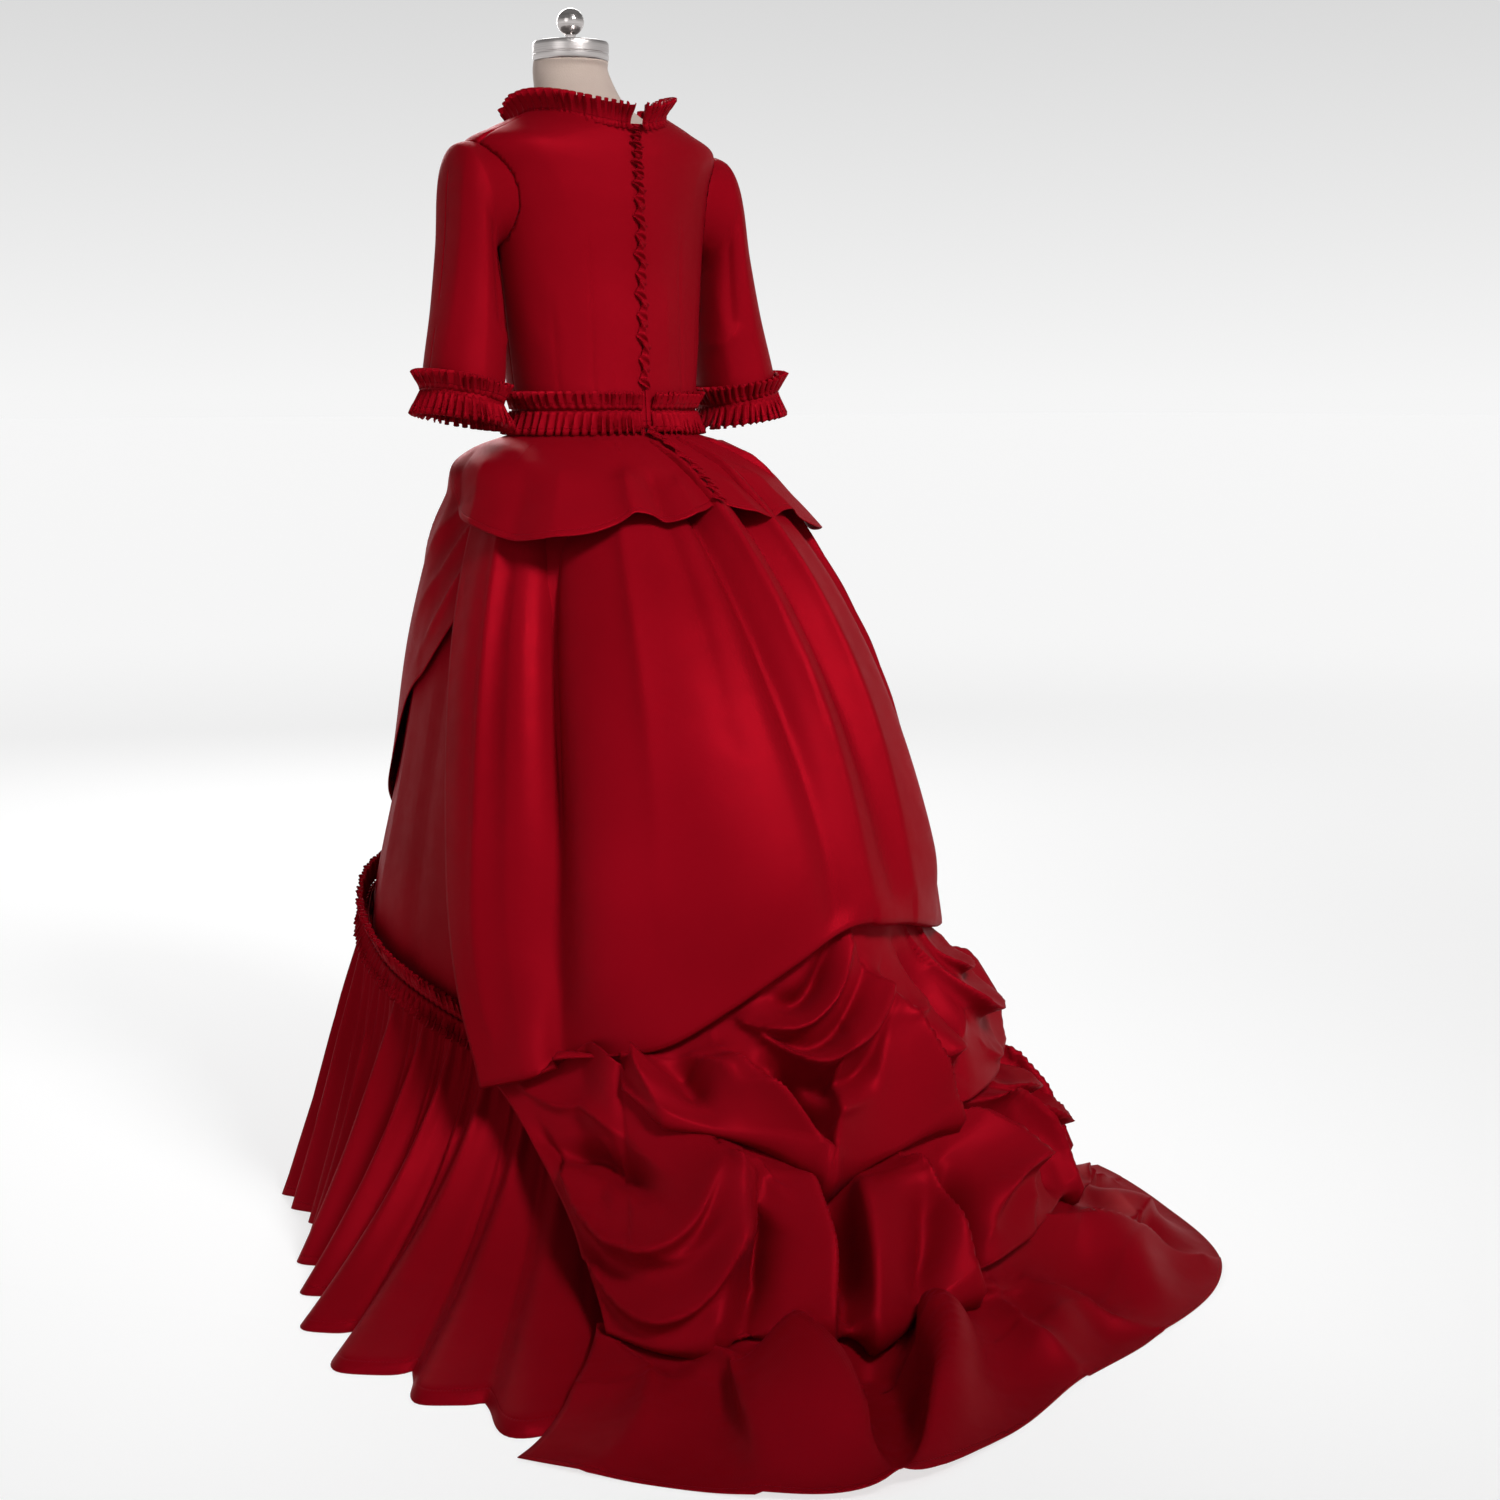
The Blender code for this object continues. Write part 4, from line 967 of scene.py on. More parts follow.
def open_armholes(piece, sides):
    """Cut the oval armholes and return the points of their edges by side."""
    shape = bmesh.new()
    shape.from_mesh(piece.data)
    edges = {}
    for side in sides:
        def oval(point, side=side):
            if point.x * side < ARMHOLE_INNER_X:
                return FAR_OUTSIDE
            across = (point.y - ARMHOLE_Y) / (ARMHOLE_DEPTH / 2.0)
            return math.hypot(across, (point.z - ARMHOLE_Z) / (ARMHOLE_HEIGHT / 2.0))

        inside = [f for f in shape.faces if oval(f.calc_center_median()) < 1.0]
        bmesh.ops.delete(shape, geom=inside, context="FACES")
        torn = [v for v in shape.verts if v.is_boundary and TORN_FROM < oval(v.co) < TORN_TO]
        for vert in torn:
            grow = 1.0 / oval(vert.co)
            vert.co.y = ARMHOLE_Y + (vert.co.y - ARMHOLE_Y) * grow
            vert.co.z = ARMHOLE_Z + (vert.co.z - ARMHOLE_Z) * grow
        edges[side] = [tuple(v.co) for v in torn]
    shape.to_mesh(piece.data)
    shape.free()
    return edges


armhole_points = {1: [], -1: []}
for name, node, first, last, columns, sides, cut, folds, area in (
    ("bodice_front_satin", "bodice_front", -SIDE - SEAM_TURN, SIDE + SEAM_TURN - FULL_TURN,
     150, (1, -1), FRONT_CUT, FRONT_FOLDS, 0.155),
    ("bodice_back_left_satin", "bodice_back_left", SIDE - SEAM_TURN, BACK_TURN,
     76, (1,), BACK_CUT, BACK_FOLDS, 0.078),
    ("bodice_back_right_satin", "bodice_back_right", -BACK_TURN, -SIDE + SEAM_TURN,
     76, (-1,), BACK_CUT, mirrored_folds(BACK_FOLDS), 0.078),
):
    def panel_point(u, t, first=first, last=last):
        return body_point(first + (last - first) * u, 1.0 - t)

    panel = sheet_object(name, columns, BODICE_ROWS, panel_point, cut, folds)
    for side, points in open_armholes(panel, sides).items():
        armhole_points[side] += points
    finish_cloth(panel, node)
print("armhole edge points", {side: len(points) for side, points in armhole_points.items()})

# %% [markdown]
# ## Sleeves
#
# An elbow sleeve is a tube that starts on the armhole's edge, rises over a slightly
# full head and widens towards the cuff. Rings give its size on the way down. Long
# soft folds hang from the head and break towards the elbow.

# %% Sleeves
# A sleeve ring is an ellipse between its outer and its inner (underarm) point.
Ring = namedtuple("Ring", "outer_x outer_z inner_x inner_z centre_y half_depth")
SLEEVE = (
    Ring(0.172, 1.4260, 0.152, 1.2880, -0.022, 0.0598),
    Ring(0.196, 1.4250, 0.166, 1.2890, -0.022, 0.0590),
    Ring(0.213, 1.408, 0.169, 1.270, -0.018, 0.058),
    Ring(0.224, 1.370, 0.166, 1.250, -0.014, 0.057),
    Ring(0.232, 1.300, 0.164, 1.205, -0.008, 0.057),
    Ring(0.246, 1.220, 0.164, 1.160, -0.001, 0.059),
    Ring(0.263, 1.150, 0.168, 1.110, 0.006, 0.061),
    Ring(0.274, 1.094, 0.174, 1.076, 0.012, 0.063),
)
SLEEVE_CUT = Cut(0.385, 0.345)
HEAD_SHARE = 0.10           # share of the sleeve's length that eases out of the armhole
HEAD_FULLNESS = 0.0045
HEAD_CROWN = 0.09           # where that fullness is greatest, and how far it reaches
HEAD_REACH = 0.13
SLEEVE_FOLDS = (
    Fold(0.08, 0.08, 0.10, 0.40, 0.06, 0.92, 0.022, 0.0042, 0.3, 0.2, 0.3),
    Fold(0.19, 0.10, 0.21, 0.45, 0.23, 0.95, 0.020, 0.0036, -0.3, 0.2, 0.5),
    Fold(0.30, 0.14, 0.31, 0.40, 0.33, 0.75, 0.014, -0.0040, 0.0, 0.4, 0.0),
    Fold(0.40, 0.30, 0.37, 0.60, 0.38, 0.98, 0.018, 0.0034, 0.2, 0.0, 0.6),
    Fold(0.28, 0.62, 0.36, 0.66, 0.46, 0.63, 0.012, 0.0026, 0.0, 0.0, 0.2),
    Fold(0.62, 0.20, 0.66, 0.50, 0.64, 0.95, 0.020, 0.0036, 0.3, 0.2, 0.4),
    Fold(0.78, 0.08, 0.77, 0.45, 0.80, 0.90, 0.022, 0.0040, -0.2, 0.2, 0.3),
    Fold(0.90, 0.10, 0.91, 0.42, 0.93, 0.90, 0.018, 0.0030, 0.2, 0.3, 0.2),
    Fold(0.54, 0.56, 0.62, 0.60, 0.72, 0.58, 0.012, 0.0026, 0.0, 0.2, 0.0),
)


def sleeve_ring(side, u, at, out=0.0):
    steps = np.arange(len(SLEEVE))
    ring = Ring(*[between(steps, column(SLEEVE, name), at) for name in Ring._fields])
    turn = 2.0 * np.pi * u
    across = np.hypot(ring.outer_x - ring.inner_x, ring.outer_z - ring.inner_z)
    share = 0.5 + 0.5 * (1.0 + 2.0 * out / across) * np.cos(turn)
    x = ring.inner_x + (ring.outer_x - ring.inner_x) * share
    z = ring.inner_z + (ring.outer_z - ring.inner_z) * share
    y = ring.centre_y + (ring.half_depth + out) * np.sin(turn)
    return np.stack((side * x, y, z), axis=1)


def sleeve_shape(side):
    edge = np.array(armhole_points[side])
    turns = np.arctan2(
        (edge[:, 1] - ARMHOLE_Y) / ARMHOLE_DEPTH, (edge[:, 2] - ARMHOLE_Z) / ARMHOLE_HEIGHT
    )
    order = np.argsort(turns)
    turns, widths = turns[order], edge[order, 0]

    def place(u, t):
        turn = np.angle(np.exp(2j * np.pi * u))
        x = np.interp(turn, turns, widths, period=2.0 * np.pi)
        y = ARMHOLE_Y + ARMHOLE_DEPTH / 2.0 * np.sin(turn)
        z = ARMHOLE_Z + ARMHOLE_HEIGHT / 2.0 * np.cos(turn)
        sewn = np.stack((x + side * SEAM, y, z), axis=1)
        full = HEAD_FULLNESS * bump(t - HEAD_CROWN, HEAD_REACH)
        free = sleeve_ring(side, u, 1.0 + t * (len(SLEEVE) - 2), full)
        share = ease(t / HEAD_SHARE)[:, None]
        return sewn * (1.0 - share) + free * share

    return place


for word, side in (("left", 1), ("right", -1)):
    folds = SLEEVE_FOLDS if side > 0 else tuple(
        f._replace(height=f.height * (0.8 + 0.4 * (i % 3 == 1))) for i, f in enumerate(SLEEVE_FOLDS)
    )
    sleeve = sheet_object(
        "sleeve_" + word + "_satin", 110, 84, sleeve_shape(side), SLEEVE_CUT, folds, side < 0, True
    )
    finish_cloth(sleeve, "sleeve_" + word)
print("sleeve box", [round(value, 3) for value in sleeve.dimensions])

# %% [markdown]
# ## Gathered frills
#
# A frill is a straight strip gathered on a thread along one edge. Near the thread
# the gathers are small and tight. Towards the free edge they open into flutes that
# swing in and out and also sideways, so some of them almost fold back on
# themselves. Nothing is even: both the width and the depth of the flutes wander.

# %% A frill on any edge
GATHER_DEPTH = 0.0011       # the small tight gathers at the thread
THREAD_STANDOFF = 0.0014    # the thread stands this far off what it is sewn to
TAIL_FLARE = 0.0035         # a neck frill's tail below the thread stands off this much
TAIL_FLUTE = 0.5            # and swings this much, for the frill's own flutes
FLUTE_SWAY = 0.42           # how far a flute leans sideways, for its depth
EDGE_WAVER = 0.09           # share of a frill's height by which its free edge wavers
TAIL_WAVER = 0.1
FRILL_ROWS = 6
FRILL_WALL = 0.0006


def rippled(base, turn, waves):
    """base with uneven waves on it; a wave is its size, its count in a turn, its start."""
    for size, count, start in waves:
        base = base + size * np.sin(count * turn + start)
    return base


def flute_waves(u, flutes, seed):
    """In-and-out and sideways swing of uneven flutes, each about 1 high."""
    turn = 2.0 * np.pi * u
    drift = ((0.9, 3.0, seed), (0.7, 8.0, 2.0 * seed), (0.5, flutes * 0.37, 3.0 * seed))
    phase = rippled(flutes * turn, turn, drift)
    size = rippled(1.0, turn, ((0.22, 5.0, seed), (0.22, flutes * 0.29, seed)))
    return size * np.sin(phase), size * np.sin(2.0 * phase), np.cos(phase)


def frill_shape(edge, flutes, rise, flare, depth, seed, tail=0.0):
    """edge(u) gives the sewn line and the way out from it."""

    def place(u, t):
        top_free = rise > 0.0
        sewn = 1.0 - tail if top_free else 0.0
        reach = (sewn - t) / sewn if top_free else t
        free = np.clip(reach, 0.0, 1.0)
        below = np.clip(-reach * (sewn / tail), 0.0, 1.0) if tail else 0.0 * t
        line, out = edge(u)
        along = np.cross(np.array((0.0, 0.0, 1.0)), out)
        swing, sway, turn = flute_waves(u, flutes, seed)
        small = GATHER_DEPTH * np.cos(2.0 * np.pi * flutes * u + seed)
        away = THREAD_STANDOFF + small + flare * free + depth * free**0.85 * swing
        away = away + below * (TAIL_FLARE + TAIL_FLUTE * depth * swing)
        side = FLUTE_SWAY * depth * (free + TAIL_FLUTE * below) * sway
        height = rise * free * (1.0 - EDGE_WAVER * turn * free)
        height = height - below * abs(rise) * tail / max(sewn, 0.1) * (1.0 + TAIL_WAVER * turn)
        up = np.zeros_like(out)
        up[:, 2] = height
        return line + out * away[:, None] + along * side[:, None] + up

    return place


def outward(bearing):
    turn = np.radians(bearing)
    return np.stack((np.sin(turn), np.cos(turn), 0.0 * turn), axis=1)


def ring_edge(ring, first, last):
    """A sewn edge that runs round the body between two bearings."""

    def edge(u):
        bearing = first + (last - first) * u
        radius, z = ring(bearing)
        return polar(bearing, radius, z), outward(bearing)

    return edge


def make_frill(name, node, columns, place, cut, mirrored=False):
    frill = sheet_object(name, columns, FRILL_ROWS, place, cut, mirrored=mirrored)
    return finish_cloth(frill, node, frill_satin, wall=FRILL_WALL)


print("a flute swings by", round(float(flute_waves(np.array([0.3]), 40, 1.0)[0][0]), 2))


# %% [markdown]
# ## Neck, waist and cuff frills
#
# The neck frill stands up round the neck with a short tail below its thread, and
# opens in a V at the centre back. The waist and each cuff carry two rows that share
# one line of gathers, one row up and one down, so the band looks double-edged.

# %% Neck, waist and cuffs
NECK_GAP = 5.0              # degrees from the centre back to the end of a frill
WAIST_GAP = 3.6
WAIST_LINE = 1.080
BAND_LIFT = 0.0012          # two rows of one band are sewn this far above and below its line
WAIST_STANDOFF = 0.0012     # the waist band's distance from the bodice
CUFF_ROW = 0.962            # share of the sleeve's length where its band is sewn
NECK_DROOP = 0.004          # the loose end of the neck frill stands off this much
NECK_DROOP_REACH = 9.0
NECK_CUT = Cut(0.94, 0.036)
WAIST_UP_CUT = Cut(0.90, 0.030)
WAIST_DOWN_CUT = Cut(1.00, 0.036)
CUFF_UP_CUT = Cut(0.62, 0.030)
CUFF_DOWN_CUT = Cut(0.70, 0.036)


def neck_ring(bearing):
    edge = body_point(bearing, np.ones_like(bearing))
    droop = NECK_DROOP * bump(FULL_TURN - NECK_GAP - bearing, NECK_DROOP_REACH)
    return np.hypot(edge[:, 0], edge[:, 1]) + droop, edge[:, 2] + SEAM


def waist_ring(lift):
    def ring(bearing):
        share = (WAIST_LINE - BODICE[0].z_side) / (BODICE[1].z_side - BODICE[0].z_side)
        edge = body_point(bearing, np.full_like(bearing, share / (len(BODICE) - 1)))
        radius = np.hypot(edge[:, 0], edge[:, 1]) + WAIST_STANDOFF
        return radius, np.full_like(bearing, WAIST_LINE + lift)

    return ring


def cuff_edge(side, lift):
    """The sewn line near the end of a sleeve, counted as the sleeve's rings are."""
    row = CUFF_ROW * (len(SLEEVE) - 1)

    def edge(u):
        at = np.full_like(u, row)
        near = sleeve_ring(side, u, at)
        out = sleeve_ring(side, u, at, 0.01) - near
        out[:, 2] = 0.0
        out /= np.maximum(np.linalg.norm(out, axis=1, keepdims=True), 1e-9)
        near[:, 2] += lift
        return near, out

    return edge


neck_edge = ring_edge(neck_ring, FULL_TURN - NECK_GAP, NECK_GAP)
make_frill("neck_frill_satin", "neck_frill", 620,
           frill_shape(neck_edge, 54, 0.024, 0.011, 0.0062, 0.7, tail=0.24), NECK_CUT)
for name, rise, lift, cut, seed in (
    ("upper", 0.022, BAND_LIFT, WAIST_UP_CUT, 1.9), ("lower", -0.029, -BAND_LIFT, WAIST_DOWN_CUT, 4.1)
):
    edge = ring_edge(waist_ring(lift), FULL_TURN - WAIST_GAP, WAIST_GAP)
    make_frill("waist_frill_" + name + "_satin", "waist_frill_" + name, 720,
               frill_shape(edge, 70, rise, 0.006, 0.0048, seed), cut)
for word, side in (("left", 1), ("right", -1)):
    for name, rise, flare, cut, seed in (
        ("upper", 0.023, 0.007, CUFF_UP_CUT, 0.4), ("lower", -0.029, 0.009, CUFF_DOWN_CUT, 2.6)
    ):
        edge = cuff_edge(side, BAND_LIFT * (1 if rise > 0 else -1))
        make_frill("cuff_frill_" + name + "_" + word + "_satin", "cuff_frill_" + name + "_" + word,
                   420, frill_shape(edge, 38, rise, flare, 0.0062, seed + side), cut,
                   side < 0)

# %% [markdown]
# ## Ruched strip over the back opening
#
# A narrow strip covers the hooks from the neck to the waist and runs on down the
# peplum. It is gathered on a thread that zigzags across it, so it puckers into
# small lobes, first to one side and then to the other.

# %% Ruched strip
STRIP_WIDTH = 0.019
STRIP_CUT = Cut(STRIP_WIDTH, 0.37)
PEPLUM_STRIP_CUT = Cut(STRIP_WIDTH, 0.17)
STRIP_PUCKER = 0.0058       # height of a lobe, which is greatest along the middle
STRIP_RIPPLE = 0.0012
STRIP_CROWN = 0.0020        # the strip's middle stands this far above its edges
STRIP_EDGE = 0.0014         # and its edges this far off the cloth
STRIP_ZIGZAG = 0.0018
PEPLUM_STANDOFF = 0.006     # the peplum's distance from the back drape at the waist
PeplumHem = namedtuple("PeplumHem", "bearing height flare")
PEPLUM_HEM = (
    PeplumHem(1.5, 0.962, 0.012),
    PeplumHem(12.0, 0.946, 0.020),
    PeplumHem(24.0, 0.944, 0.014),
    PeplumHem(38.0, 0.926, 0.022),
    PeplumHem(52.0, 0.920, 0.026),
    PeplumHem(70.0, 0.932, 0.022),
    PeplumHem(84.0, 0.950, 0.012),
    PeplumHem(96.0, 0.985, 0.005),
)
PEPLUM_FRONT_TOP = 118.0    # bearing of the front edge at the waist
PEPLUM_FRONT_HEM = 96.0     # bearing of the front edge at the hem
PEPLUM_TOP_Z = 1.0552


def peplum_surface(bearing, t):
    low = at_bearing(PEPLUM_HEM, "height", bearing)
    flare = at_bearing(PEPLUM_HEM, "flare", bearing)
    z = PEPLUM_TOP_Z + (low - PEPLUM_TOP_Z) * t
    waist = section_radius(BODICE[0], bearing)
    under = skirt_radius(OVERSKIRT, bearing, z) + PEPLUM_STANDOFF
    radius = waist + (under + flare * t - waist) * ease(t * 9.0)
    return radius, z


def strip_shape(centre_line, lobes):
    def place(u, t):
        y, z = centre_line(t)
        turn = 2.0 * np.pi * lobes * t + 0.8 * np.sin(9.0 * t)
        across = 0.5 - u
        pucker = STRIP_PUCKER * np.abs(np.sin(0.5 * turn + 2.2 * across)) ** 1.4
        pucker = pucker * (1.0 - (1.7 * np.abs(across)) ** 2)
        pucker = pucker + STRIP_RIPPLE * np.sin(3.0 * turn + 7.0 * across)
        narrow = 0.68 + 0.32 * np.cos(turn + 3.0 * across)
        x = STRIP_WIDTH * across * narrow + STRIP_ZIGZAG * np.sin(0.5 * turn)
        off = STRIP_EDGE + STRIP_CROWN * (1.0 - (2.0 * across) ** 2) + pucker
        return np.stack((x, y + off, z + 0.002 * across * np.cos(turn)), axis=1)

    return place


def bodice_back_line(t):
    edge = body_point(np.zeros_like(t), 0.985 - 0.86 * t)
    return edge[:, 1] + 0.0006, edge[:, 2]


def peplum_back_line(t):
    radius, z = peplum_surface(np.full_like(t, 0.4), t)
    return radius + 0.0064, z + 0.0044


for name, node, rows, line, lobes, cut, rests_on in (
    ("back_strip_satin", "closure_strip", 420, bodice_back_line, 17, STRIP_CUT,
     "bodice_back_left_satin"),
    ("peplum_strip_satin", "closure_strip_peplum", 190, peplum_back_line, 7, PEPLUM_STRIP_CUT,
     "peplum_left_satin"),
):
    strip = sheet_object(name, 20, rows, strip_shape(line, lobes), cut)
    finish_cloth(strip, node, frill_satin, wall=FRILL_WALL)

# %% [markdown]
# ## Peplum
#
# The peplum is cut with more hem than waist, so its lower edge ripples. Each half
# has a smooth front part and two or three flutes near the back, where the bustle
# pushes it up.

# %% Peplum
PEPLUM_CUT = Cut(0.460, 0.165)
PEPLUM_FOLDS = (
    Fold(0.86, 0.42, 0.845, 0.72, 0.835, 1.00, 0.015, -0.0100, 0.0, 0.0, 1.0),
    Fold(0.78, 0.38, 0.765, 0.70, 0.755, 1.00, 0.017, 0.0120, 0.0, 0.0, 1.0),
    Fold(0.93, 0.50, 0.925, 0.75, 0.92, 1.00, 0.014, 0.0050, 0.0, 0.0, 1.0),
    Fold(0.60, 0.25, 0.57, 0.60, 0.55, 1.00, 0.030, 0.0050, 0.0, 0.0, 1.0),
    Fold(0.47, 0.30, 0.45, 0.65, 0.42, 1.00, 0.026, -0.0050, 0.0, 0.0, 1.0),
    Fold(0.30, 0.25, 0.28, 0.60, 0.25, 1.00, 0.028, 0.0050, 0.0, 0.0, 1.0),
    Fold(0.12, 0.30, 0.12, 0.65, 0.10, 1.00, 0.022, -0.0040, 0.0, 0.0, 1.0),
    Fold(0.68, 0.10, 0.74, 0.14, 0.82, 0.12, 0.010, 0.0020, 0.0, 0.0, 0.0),
)


def peplum_shape(side):
    def place(u, t):
        front = PEPLUM_FRONT_TOP + (PEPLUM_FRONT_HEM - PEPLUM_FRONT_TOP) * t
        bearing = front + (PEPLUM_HEM[0].bearing - front) * u
        radius, z = peplum_surface(bearing, t)
        lifted = 0.006 * bump(bearing - 20.0, 5.0) * t
        return polar(side * bearing, radius, z + lifted)

    return place


for word, side in (("left", 1), ("right", -1)):
    softer = tuple(fold._replace(height=0.8 * fold.height) for fold in PEPLUM_FOLDS)
    folds = PEPLUM_FOLDS if side > 0 else softer
    peplum = sheet_object(
        "peplum_" + word + "_satin", 120, 48, peplum_shape(side), PEPLUM_CUT, folds, side < 0
    )
    finish_cloth(peplum, "peplum_" + word)
print("peplum folds", len(PEPLUM_FOLDS))

# %% [markdown]
# ## Underskirt
#
# The underskirt is a plain tube that shows between the apron and the flounce. Under
# the back drape it is drawn in, to leave room for the deep hollow there. It ends
# just below the seam where the flounce is sewn on, so that seam's table comes first.

# %% Underskirt
SHELF_HEIGHTS = (1.034, 1.010, 0.965)   # rows every skirt shares over the hip shelf
Flounce = namedtuple("Flounce", "bearing head_z hem_r")
FLOUNCE = (
    Flounce(-180.0, 0.452, 0.420),
    Flounce(-150.0, 0.448, 0.425),
    Flounce(-120.0, 0.430, 0.435),
    Flounce(-95.0, 0.385, 0.462),
    Flounce(-75.0, 0.345, 0.525),
    Flounce(-62.0, 0.325, 0.585),
    Flounce(-50.0, 0.305, 0.620),
    Flounce(-30.0, 0.280, 0.690),
    Flounce(0.0, 0.262, 0.745),
    Flounce(25.0, 0.272, 0.735),
    Flounce(33.0, 0.280, 0.800),
    Flounce(37.0, 0.284, 0.915),
    Flounce(43.0, 0.290, 0.855),
    Flounce(52.0, 0.302, 0.780),
    Flounce(62.0, 0.320, 0.685),
    Flounce(73.0, 0.340, 0.555),
    Flounce(92.0, 0.372, 0.446),
    Flounce(107.0, 0.400, 0.418),
    Flounce(120.0, 0.425, 0.412),
    Flounce(150.0, 0.448, 0.418),
    Flounce(180.0, 0.452, 0.420),
)
HEADING_DROP = 0.020        # the underskirt runs on this far below the seam
UNDERSKIRT_ROWS = 5
UNDER_DRAPE = 0.034         # the underskirt hangs this much further in under the back drape
DRAPE_INNER = 44.0          # bearing up to which it does, and over how many degrees it stops
DRAPE_BLEND = 12.0
DRAPE_TOP = 0.99            # height below which it does, and over how much it begins
DRAPE_DROP = 0.2
UNDERSKIRT_CUT = Cut(2.30, 0.72)
UNDERSKIRT_FOLDS = tuple(
    Fold(u, 0.15, u + bend, 0.55, u + 1.6 * bend, 1.0, width, height, 0.0, 0.0, 0.8)
    for u, bend, width, height in (
        (0.03, 0.004, 0.03, 0.004), (0.11, -0.004, 0.025, 0.005), (0.185, 0.003, 0.028, -0.005),
        (0.235, -0.005, 0.022, 0.005), (0.285, -0.004, 0.022, -0.006), (0.33, -0.004, 0.026, 0.006),
        (0.67, 0.004, 0.024, 0.006), (0.72, 0.005, 0.024, -0.006), (0.78, 0.004, 0.030, 0.005),
        (0.86, 0.003, 0.026, -0.004), (0.93, -0.004, 0.028, 0.005),
    )
)


def skirt_height(top, low, t, rows):
    """Height of a skirt's row: the shared shelf rows first, then even steps."""
    knots = [top, *SHELF_HEIGHTS]
    marks = [i / rows for i in range(len(knots))]
    shelf = np.interp(t, marks, knots)
    share = (t - marks[-1]) / (1.0 - marks[-1])
    return np.where(t <= marks[-1], shelf, knots[-1] + (low - knots[-1]) * share)


def underskirt_point(u, t):
    bearing = HALF_TURN - FULL_TURN * u
    low = at_bearing(FLOUNCE, "head_z", bearing) - HEADING_DROP
    z = skirt_height(UNDERSKIRT[0].height, low, t, UNDERSKIRT_ROWS)
    hidden = 1.0 - ease((fold_bearing(bearing) - DRAPE_INNER) / DRAPE_BLEND)
    hidden = hidden * ease((DRAPE_TOP - z) / DRAPE_DROP)
    return polar(bearing, skirt_radius(UNDERSKIRT, bearing, z) - UNDER_DRAPE * hidden, z)


underskirt = sheet_object(
    "underskirt_satin", 132, 40, underskirt_point, UNDERSKIRT_CUT, UNDERSKIRT_FOLDS, weld=True
)
finish_cloth(underskirt, "underskirt")
print("underskirt box", [round(value, 3) for value in underskirt.dimensions])

# %% [markdown]
# ## Flounce
#
# The deep flounce is gathered onto the underskirt. Close to its head the gathers
# are fine and many; they join into fewer and deeper flutes on the way to the floor,
# where the hem sweeps out. One wave that drifts along the cloth makes the flutes.

# %% Flounce
FLOUNCE_STANDOFF = 0.0037
FLOUNCE_CURVE = 1.2         # how late the flounce kicks out towards its hem
FLOUNCE_SWEEP = 2.4         # and how much later where its hem sweeps far out
FLOUNCE_FLUTE = 0.026
FLOUNCE_FLUTES = 41.0       # deep flutes all round at the hem
HEM_DRAW = 0.014            # how far deep flutes draw the hem in
# Waves that make the flutes uneven: size, count in a full turn, start.
FLUTE_DRIFT = ((1.1, 2.0, 0.4), (0.9, 5.0, 1.0))
FLUTE_SIZES = ((0.30, 7.0, 0.5), (0.25, 11.0, 2.0))
FINE_GATHERS = 0.0032       # the many small gathers close to the flounce's head
FLUTE_SWEEP = 0.55          # degrees by which a flute's sides swing round
FLOUNCE_CUT = Cut(4.90, 0.34)


def heading_line(bearing):
    z = at_bearing(FLOUNCE, "head_z", bearing)
    return skirt_radius(UNDERSKIRT, bearing, z), z


def flounce_point(u, t):
    bearing = HALF_TURN - FULL_TURN * u
    head_r, head_z = heading_line(bearing)
    hem_r = at_bearing(FLOUNCE, "hem_r", bearing)
    head_r = head_r + FLOUNCE_STANDOFF
    hem_z = CLOTH + FLOOR_GAP
    late = FLOUNCE_CURVE + FLOUNCE_SWEEP * (hem_r - head_r)
    radius = head_r + (hem_r - head_r) * t**late
    turn = 2.0 * np.pi * u
    phase = rippled(FLOUNCE_FLUTES * turn, turn, FLUTE_DRIFT)
    phase = phase + 0.6 * np.sin(13.0 * turn) + 1.3 * t * np.sin(3.0 * turn + 2.0)
    size = rippled(1.0, turn, FLUTE_SIZES)
    flute = 1.15 * (2.0 * np.abs(np.cos(0.5 * phase)) ** 0.8 - 1.0) + 0.3 * np.sin(phase)
    half = np.sin(2.0 * phase + 1.1 + 0.5 * np.sin(6.0 * turn))
    gathers = np.sin(4.0 * phase + 0.8 * np.sin(9.0 * turn))
    out = FLOUNCE_FLUTE * size * (t**0.85 * flute + 0.42 * ease(2.2 * t) * (1.0 - 0.6 * t) * half)
    out = out + FINE_GATHERS * ease(12.0 * t) * (1.0 - ease(1.35 * t)) * gathers
    z = head_z + (hem_z - head_z) * t
    sweep = 1.6 * size * t**1.3 * np.cos(phase) * ease(6.0 * t)
    return polar(bearing + FLUTE_SWEEP * sweep, radius + 0.95 * out - HEM_DRAW * t, z)


flounce = sheet_object("flounce_satin", 920, 26, flounce_point, FLOUNCE_CUT, weld=True)
finish_cloth(flounce, "flounce")
print("flounce box", [round(value, 3) for value in flounce.dimensions])

# %% [markdown]
# ## The flounce's heading
#
# Two small frills cover the seam, one row up and one down. They run round the front
# and the sides, and stop where the tied-up tiers hide the seam.

# %% Heading frills
HEADING_STANDOFF = 0.0032   # the frills' distance from the flounce
HEADING_END = 56.0          # bearing where they stop at each side
HEADING_CUT = Cut(2.35, 0.028)


def heading_ring(lift):
    def ring(bearing):
        bearing = np.where(bearing > HALF_TURN, bearing - FULL_TURN, bearing)
        radius, z = heading_line(bearing)
        return radius + FLOUNCE_STANDOFF + HEADING_STANDOFF, z + lift

    return ring


